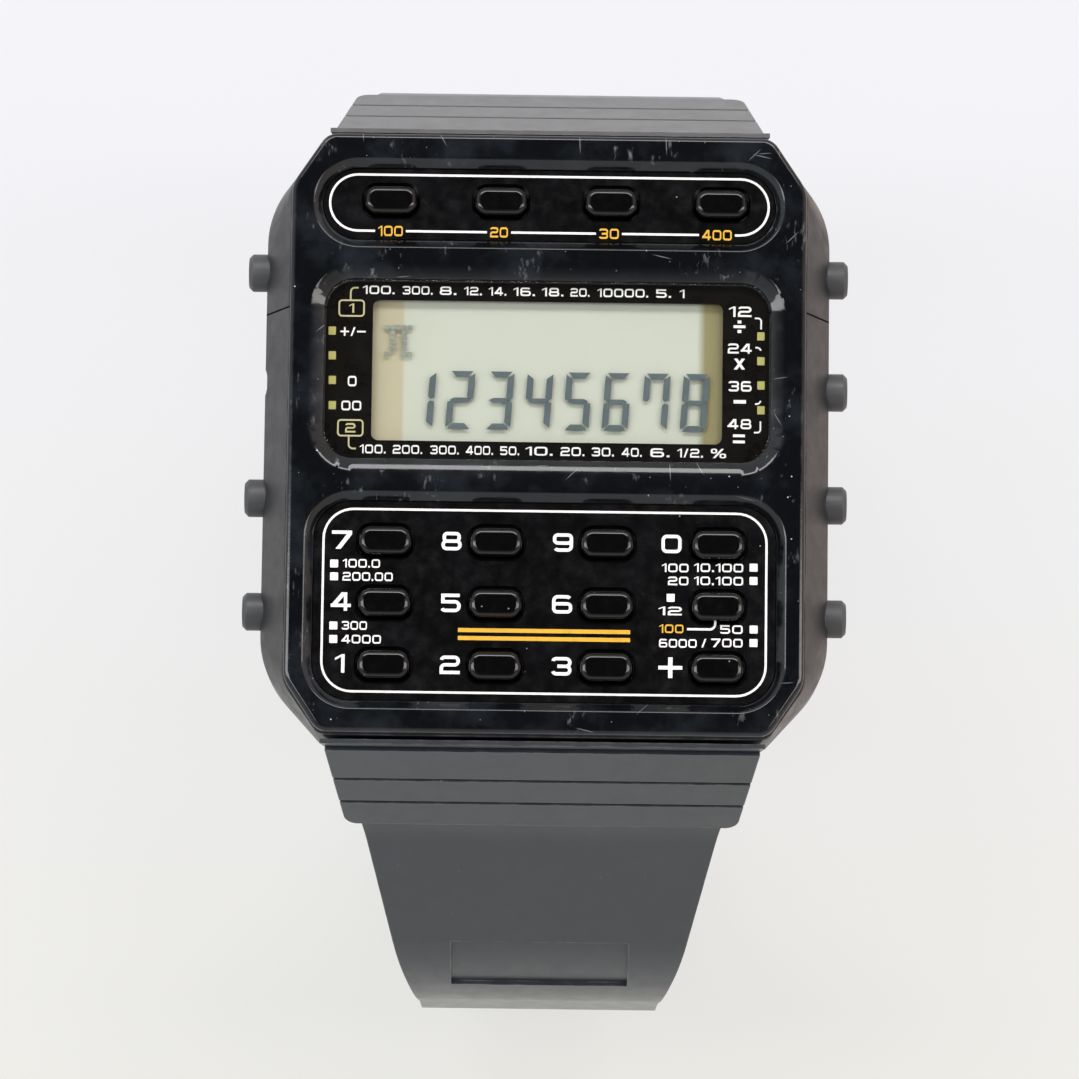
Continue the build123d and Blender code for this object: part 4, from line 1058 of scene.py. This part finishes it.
def segment_outlines():
    """Corners of the seven segments of a digit, in millimetres round its middle, before the slant."""
    far_x, far_y = digit_width / 2, digit_height / 2
    near_x, near_y = far_x - upright_width, far_y - level_width
    cut = 0.13
    outlines = {
        "a": [(-far_x + cut, far_y), (far_x - cut, far_y), (near_x - 0.05, near_y), (-near_x + 0.05, near_y)],
        "b": [(far_x, far_y - cut), (far_x, 0.12), (near_x + 0.12, 0.05), (near_x, 0.22),
              (near_x, near_y - 0.07)],
        "g": [(-far_x + 0.14, 0), (-near_x, 0.16), (near_x, 0.16), (far_x - 0.14, 0), (near_x, -0.16),
              (-near_x, -0.16)],
    }
    outlines["f"] = [(-x, y) for x, y in outlines["b"]]
    outlines["c"] = [(x, -y) for x, y in outlines["b"]]
    outlines["e"] = [(-x, -y) for x, y in outlines["b"]]
    outlines["d"] = [(x, -y) for x, y in outlines["a"]]
    return outlines


def segment_pattern(name, outline):
    """One segment: a disc whose corners are moved to the segment's own, then thickened by one unit."""
    deselect_all()
    bpy.ops.mesh.primitive_circle_add(vertices=len(outline), radius=1, fill_type="NGON", location=(0, 0, 0))
    pattern = name_piece(name)
    centre = sum((Vector((*corner, 0)) for corner in outline), Vector()) / len(outline)

    def turn_from(point):
        return math.atan2(point[1], point[0])

    order = sorted(range(len(outline)), key=lambda n: turn_from(pattern.data.vertices[n].co))
    corners = sorted(outline, key=lambda corner: turn_from((corner[0] - centre.x, corner[1] - centre.y)))
    for number, (x, y) in zip(order, corners):
        clear_picks(pattern)
        point = pattern.data.vertices[number]
        point.select = True
        step = Vector((x + math.tan(digit_slant) * y, y, 0)) - point.co
        open_edit("VERT")
        bpy.ops.transform.translate(value=step)
        close_edit()
    return thicken(pattern, 1, unit_merge)


def display_digits():
    """Eight slanted digits built of copies of seven segments."""
    segments = {name: segment_pattern(f"segment_{name}", outline)
                for name, outline in segment_outlines().items()}
    copies = []
    for number, lit in enumerate(segments_of_digit):
        place = ((digit_first_x + number * digit_pitch) * mm, digit_middle_y * mm)
        for name in lit:
            copies.append(placed_print(segments[name], place, (mm, mm), digits_bottom))
    for pattern in segments.values():
        bpy.data.objects.remove(pattern)
    dress(join_all(copies, "display_digits"), "segment")


def display_symbol():
    """Number symbol built of square dots."""
    dots = []
    for row, line in enumerate(dot_symbol):
        for column, mark in enumerate(line):
            if mark == "#":
                left = dot_symbol_left + column * dot_pitch[0]
                top = dot_symbol_top - row * dot_pitch[1]
                dots.append(printed_bar((left, top - dot_size[1]), (left + dot_size[0], top), digits_bottom))
    dress(join_all(dots, "display_symbol"), "dots")


# Print round the display, in millimetres. Rows: height of the middle, height, then text, left and right
number_rows = (
    (9.14, 0.54, (("100.", -11.7, -9.7), ("300.", -9.2, -7.3), ("8.", -6.85, -5.8), ("12.", -5.3, -4.2),
                  ("14.", -3.75, -2.65), ("16.", -2.2, -0.85), ("18.", -0.4, 0.95), ("20.", 1.4, 2.6),
                  ("10000.", 3.1, 6.3), ("5.", 6.8, 7.75), ("1", 8.3, 8.6))),
    (-1.03, 0.56, (("100.", -11.72, -10.1), ("200.", -9.65, -7.8), ("300.", -7.3, -5.5),
                   ("400.", -5.05, -3.35), ("50.", -2.9, -1.7), ("10.", -1.3, 0.4), ("20.", 0.9, 2.4),
                   ("30.", 2.85, 4.25), ("40.", 4.75, 6.0), ("6.", 6.55, 7.75), ("1/2.", 8.25, 9.85))),
)
# Single marks: text, left, right, height of the middle and height
side_numbers = (
    ("%", 10.35, 11.3, -1.03, 0.6), ("+/-", -13.07, -11.48, 6.45, 0.56), ("0", -12.55, -12.0, 3.28, 0.66),
    ("00", -12.93, -11.68, 1.72, 0.62), ("12", 11.42, 12.84, 8.04, 0.66), ("24", 11.36, 12.86, 5.68, 0.64),
    ("36", 11.42, 12.88, 3.27, 0.66), ("48", 11.38, 12.88, 0.86, 0.64), (":", 11.71, 12.46, 7.08, 0.8),
    ("x", 11.76, 12.45, 4.69, 0.7), ("=", 11.73, 12.48, -0.08, 0.78),
)
white_dash = ((11.75 * mm, 2.17 * mm), (12.53 * mm, 2.39 * mm))
white_hooks = (
    ((13.05, 7.58), (13.25, 7.68), "right", ((13.25, 7.43, -90), (0, -0.5))),
    ((13.1, 5.7), (13.2, 5.8), "right", ((13.2, 5.5, -75),)),
    ((13.1, 2.1), (13.2, 2.2), "right", ((13.2, 2.4, 80),)),
    ((13.05, 0.28), (13.25, 0.38), "right", ((13.25, 0.53, 90), (0, 0.52))),
)
yellow_squares = ((-13.59, 6.49), (-13.56, 4.91), (-13.53, 3.34), (-13.5, 1.73),
                  (13.44, 6.48), (13.45, 4.89), (13.47, 3.34), (13.48, 1.76))
yellow_square = (0.23, 0.26, 0.04)
yellow_boxes = ((-12.39, 7.95, "1"), (-12.34, 0.3, "2"))
box_half_width, box_half_height = 0.83, 0.55
box_corner = 0.25 * mm
box_line = 0.1 * mm
box_number_height = 0.6 * mm
yellow_hooks = (
    ((-12.51, 8.49), (-12.41, 9.0), "up", ((-12.2, 9.0, -90), (0.22, 0))),
    ((-12.48, -0.75), (-12.38, -0.24), "down", ((-12.17, -0.75, 90), (0.2, 0))),
)


def display_print():
    """Numbers, marks and boxes printed round the display."""
    z = crystal_low.z + mask_thickness
    white = [spread_number(*number, y, height, z) for y, height, numbers in number_rows for number in numbers]
    white += [spread_number(*number, z) for number in side_numbers]
    white.append(printed_bar(*white_dash, z))
    white += [line_print(*hook, z) for hook in white_hooks]
    dress(join_all(white, "display_numbers"), "white_ink")
    squares = [printed_square(x, y, *yellow_square, z) for x, y in yellow_squares]
    dress(join_all(squares, "display_squares"), "yellow_ink")
    boxes = []
    for x, y, label in yellow_boxes:
        low = ((x - box_half_width) * mm, (y - box_half_height) * mm)
        high = ((x + box_half_width) * mm, (y + box_half_height) * mm)
        boxes.append(thicken(flat_frame(low, high, z, box_corner, box_line)))
        boxes.append(number_print(label, (x * mm, y * mm), box_number_height, z))
    boxes += [line_print(*hook, z) for hook in yellow_hooks]
    dress(join_all(boxes, "display_boxes"), "pale_yellow_ink")


# Pieces that keep their solids

def plain_nodes():
    """Finish of each solid that is shown as it is."""
    nodes_of_finish = {
        "plate": ("key_plate_upper", "key_plate_lower"),
        "lcd_glass": ("lcd_cell",),
        "module": ("display_holder", "module_frame"),
        "guide": ("light_guide",),
        "rubber": ("zebra_connectors", "back_gasket"),
        "bulb": ("lamp_bulb",),
        "membrane": ("key_membrane_upper", "key_membrane_lower"),
        "board": ("circuit_board",),
        "chip": ("main_chip",),
        "steel": ("quartz_can", "battery_cells", "battery_clamp", "clamp_screws"),
        "brass": ("buzzer_disc", "buzzer_contact", "side_contacts_right", "side_contacts_left"),
    }
    for finish, nodes in nodes_of_finish.items():
        for node in nodes:
            solid = frame["nodes"][node]
            solid.data.materials.clear()
            solid.data.materials.append(finishes[finish])


# Room, lights and camera

floor_gap = 0.05 * mm
floor_size = 3.0
floor_fade = (-0.045, 0.035)
floor_warm_side = (0.02, 0.04)
floor_glow = 0.75

# Room light: height over the horizon where it starts and stops fading, and its strength there
room_fade = (0.55, 0.98)
room_strength = (0.85, 0.03)
room_warm_side = (0.3, 0.8)


def pale_floor():
    """Floor under the strap, which reads as the pale backdrop from above and looks warm in reflections."""
    deselect_all()
    bottom = size_of_solids[0].z - floor_gap
    bpy.ops.mesh.primitive_plane_add(size=floor_size, location=(0, 0, bottom))
    floor = name_piece("pale_floor")
    look = new_finish("pale_floor", (0.80, 0.80, 0.79), 0.9)
    axes = axes_of(look)
    ray = add_node(look, "LightPath")
    upwards = between(look, axes["Y"], *floor_fade)
    tint = mixed(look, upwards, (0.82, 0.815, 0.765, 1), (0.83, 0.83, 0.885, 1))
    mirrored = times(look, between(look, axes["X"], *floor_warm_side), ray["Is Glossy Ray"])
    warmed = mixed(look, mirrored, tint, (0.95, 0.79, 0.73, 1))
    glow = add_node(look, "Emission", {"Color": warmed, "Strength": 1.0})["Emission"]
    seen = reckon(look, "ADD", ray["Is Camera Ray"], ray["Is Glossy Ray"], clamp=True)
    seen = reckon(look, "ADD", seen, ray["Is Transmission Ray"], clamp=True)
    show(look, times(look, seen, floor_glow), shader_of(look).outputs["BSDF"], glow)
    floor.data.materials.append(look)


def soft_room():
    """Room light: dim straight above, bright towards the walls, and warm on the right."""
    world = bpy.data.worlds.new("soft_room")
    bpy.context.scene.world = world
    world.use_nodes = True
    tree = world.node_tree
    background = tree.nodes["Background"].inputs
    axes = axes_of(world, "Generated")
    tree.links.new(between(world, axes["Z"], *room_fade, *room_strength), background["Strength"])
    rightwards = between(world, axes["X"], *room_warm_side)
    walls = mixed(world, rightwards, (0.97, 0.985, 1.0, 1), (1.0, 0.87, 0.82, 1))
    tree.links.new(walls, background["Color"])


# Lamps, which all look at the watch: name, place, width, height, power and colour
lamp_height = 0.35
side_lamp_x = 0.29
room_lamps = (
    ("lamp_12", (0, 0.28, lamp_height), 0.5, 0.12, 1.5, (1.0, 0.99, 0.98)),
    ("lamp_left", (-side_lamp_x, 0, lamp_height), 0.11, 0.45, 0.92, (0.96, 0.98, 1.0)),
    ("lamp_right", (side_lamp_x, 0, lamp_height), 0.11, 0.45, 0.82, (1.0, 0.95, 0.91)),
)


def lamps():
    for name, place, width, height, power, colour in room_lamps:
        deselect_all()
        bpy.ops.object.light_add(type="AREA", location=place)
        lamp = bpy.context.active_object
        lamp.name = name
        lamp.data.shape = "RECTANGLE"
        lamp.data.size = width
        lamp.data.size_y = height
        lamp.data.energy = power
        lamp.data.color = colour
        lamp.rotation_euler = (Vector() - Vector(place)).to_track_quat("-Z", "Y").to_euler()


def camera():
    """Camera of the photograph: almost straight above the front, leaning to 6 o'clock."""
    lean = math.radians(8.0)
    roll = math.radians(0.75)
    distance = 0.350
    focal = 186.8
    aim_x = -0.35 * mm
    aim_y = -6.8 * mm
    aim = Vector((aim_x, aim_y, bezel_top))
    back = Vector((0, -math.sin(lean), math.cos(lean)))
    across = Vector((1, 0, 0))
    up = back.cross(across)
    across, up = (across * math.cos(roll) + up * math.sin(roll),
                  up * math.cos(roll) - across * math.sin(roll))
    place = aim + back * distance
    data = bpy.data.cameras.new("camera")
    viewer = bpy.data.objects.new("camera", data)
    bpy.context.scene.collection.objects.link(viewer)
    data.sensor_width = 36
    data.lens = focal
    data.clip_start = 0.01
    data.clip_end = 10
    viewer.matrix_world = Matrix.Translation(place) @ Matrix((across, up, back)).transposed().to_4x4()
    bpy.context.scene.camera = viewer


softened_solids()
pushers()
keys()
back_screws()
patterns = numeral_patterns()
upper_field_print()
lower_field_print()
display_mask()
window_pane()
film()
display_digits()
display_symbol()
display_print()
for pattern, _, _ in patterns.values():
    bpy.data.objects.remove(pattern)
plain_nodes()
pale_floor()
soft_room()
lamps()
camera()
bpy.context.scene.view_settings.view_transform = "Standard"
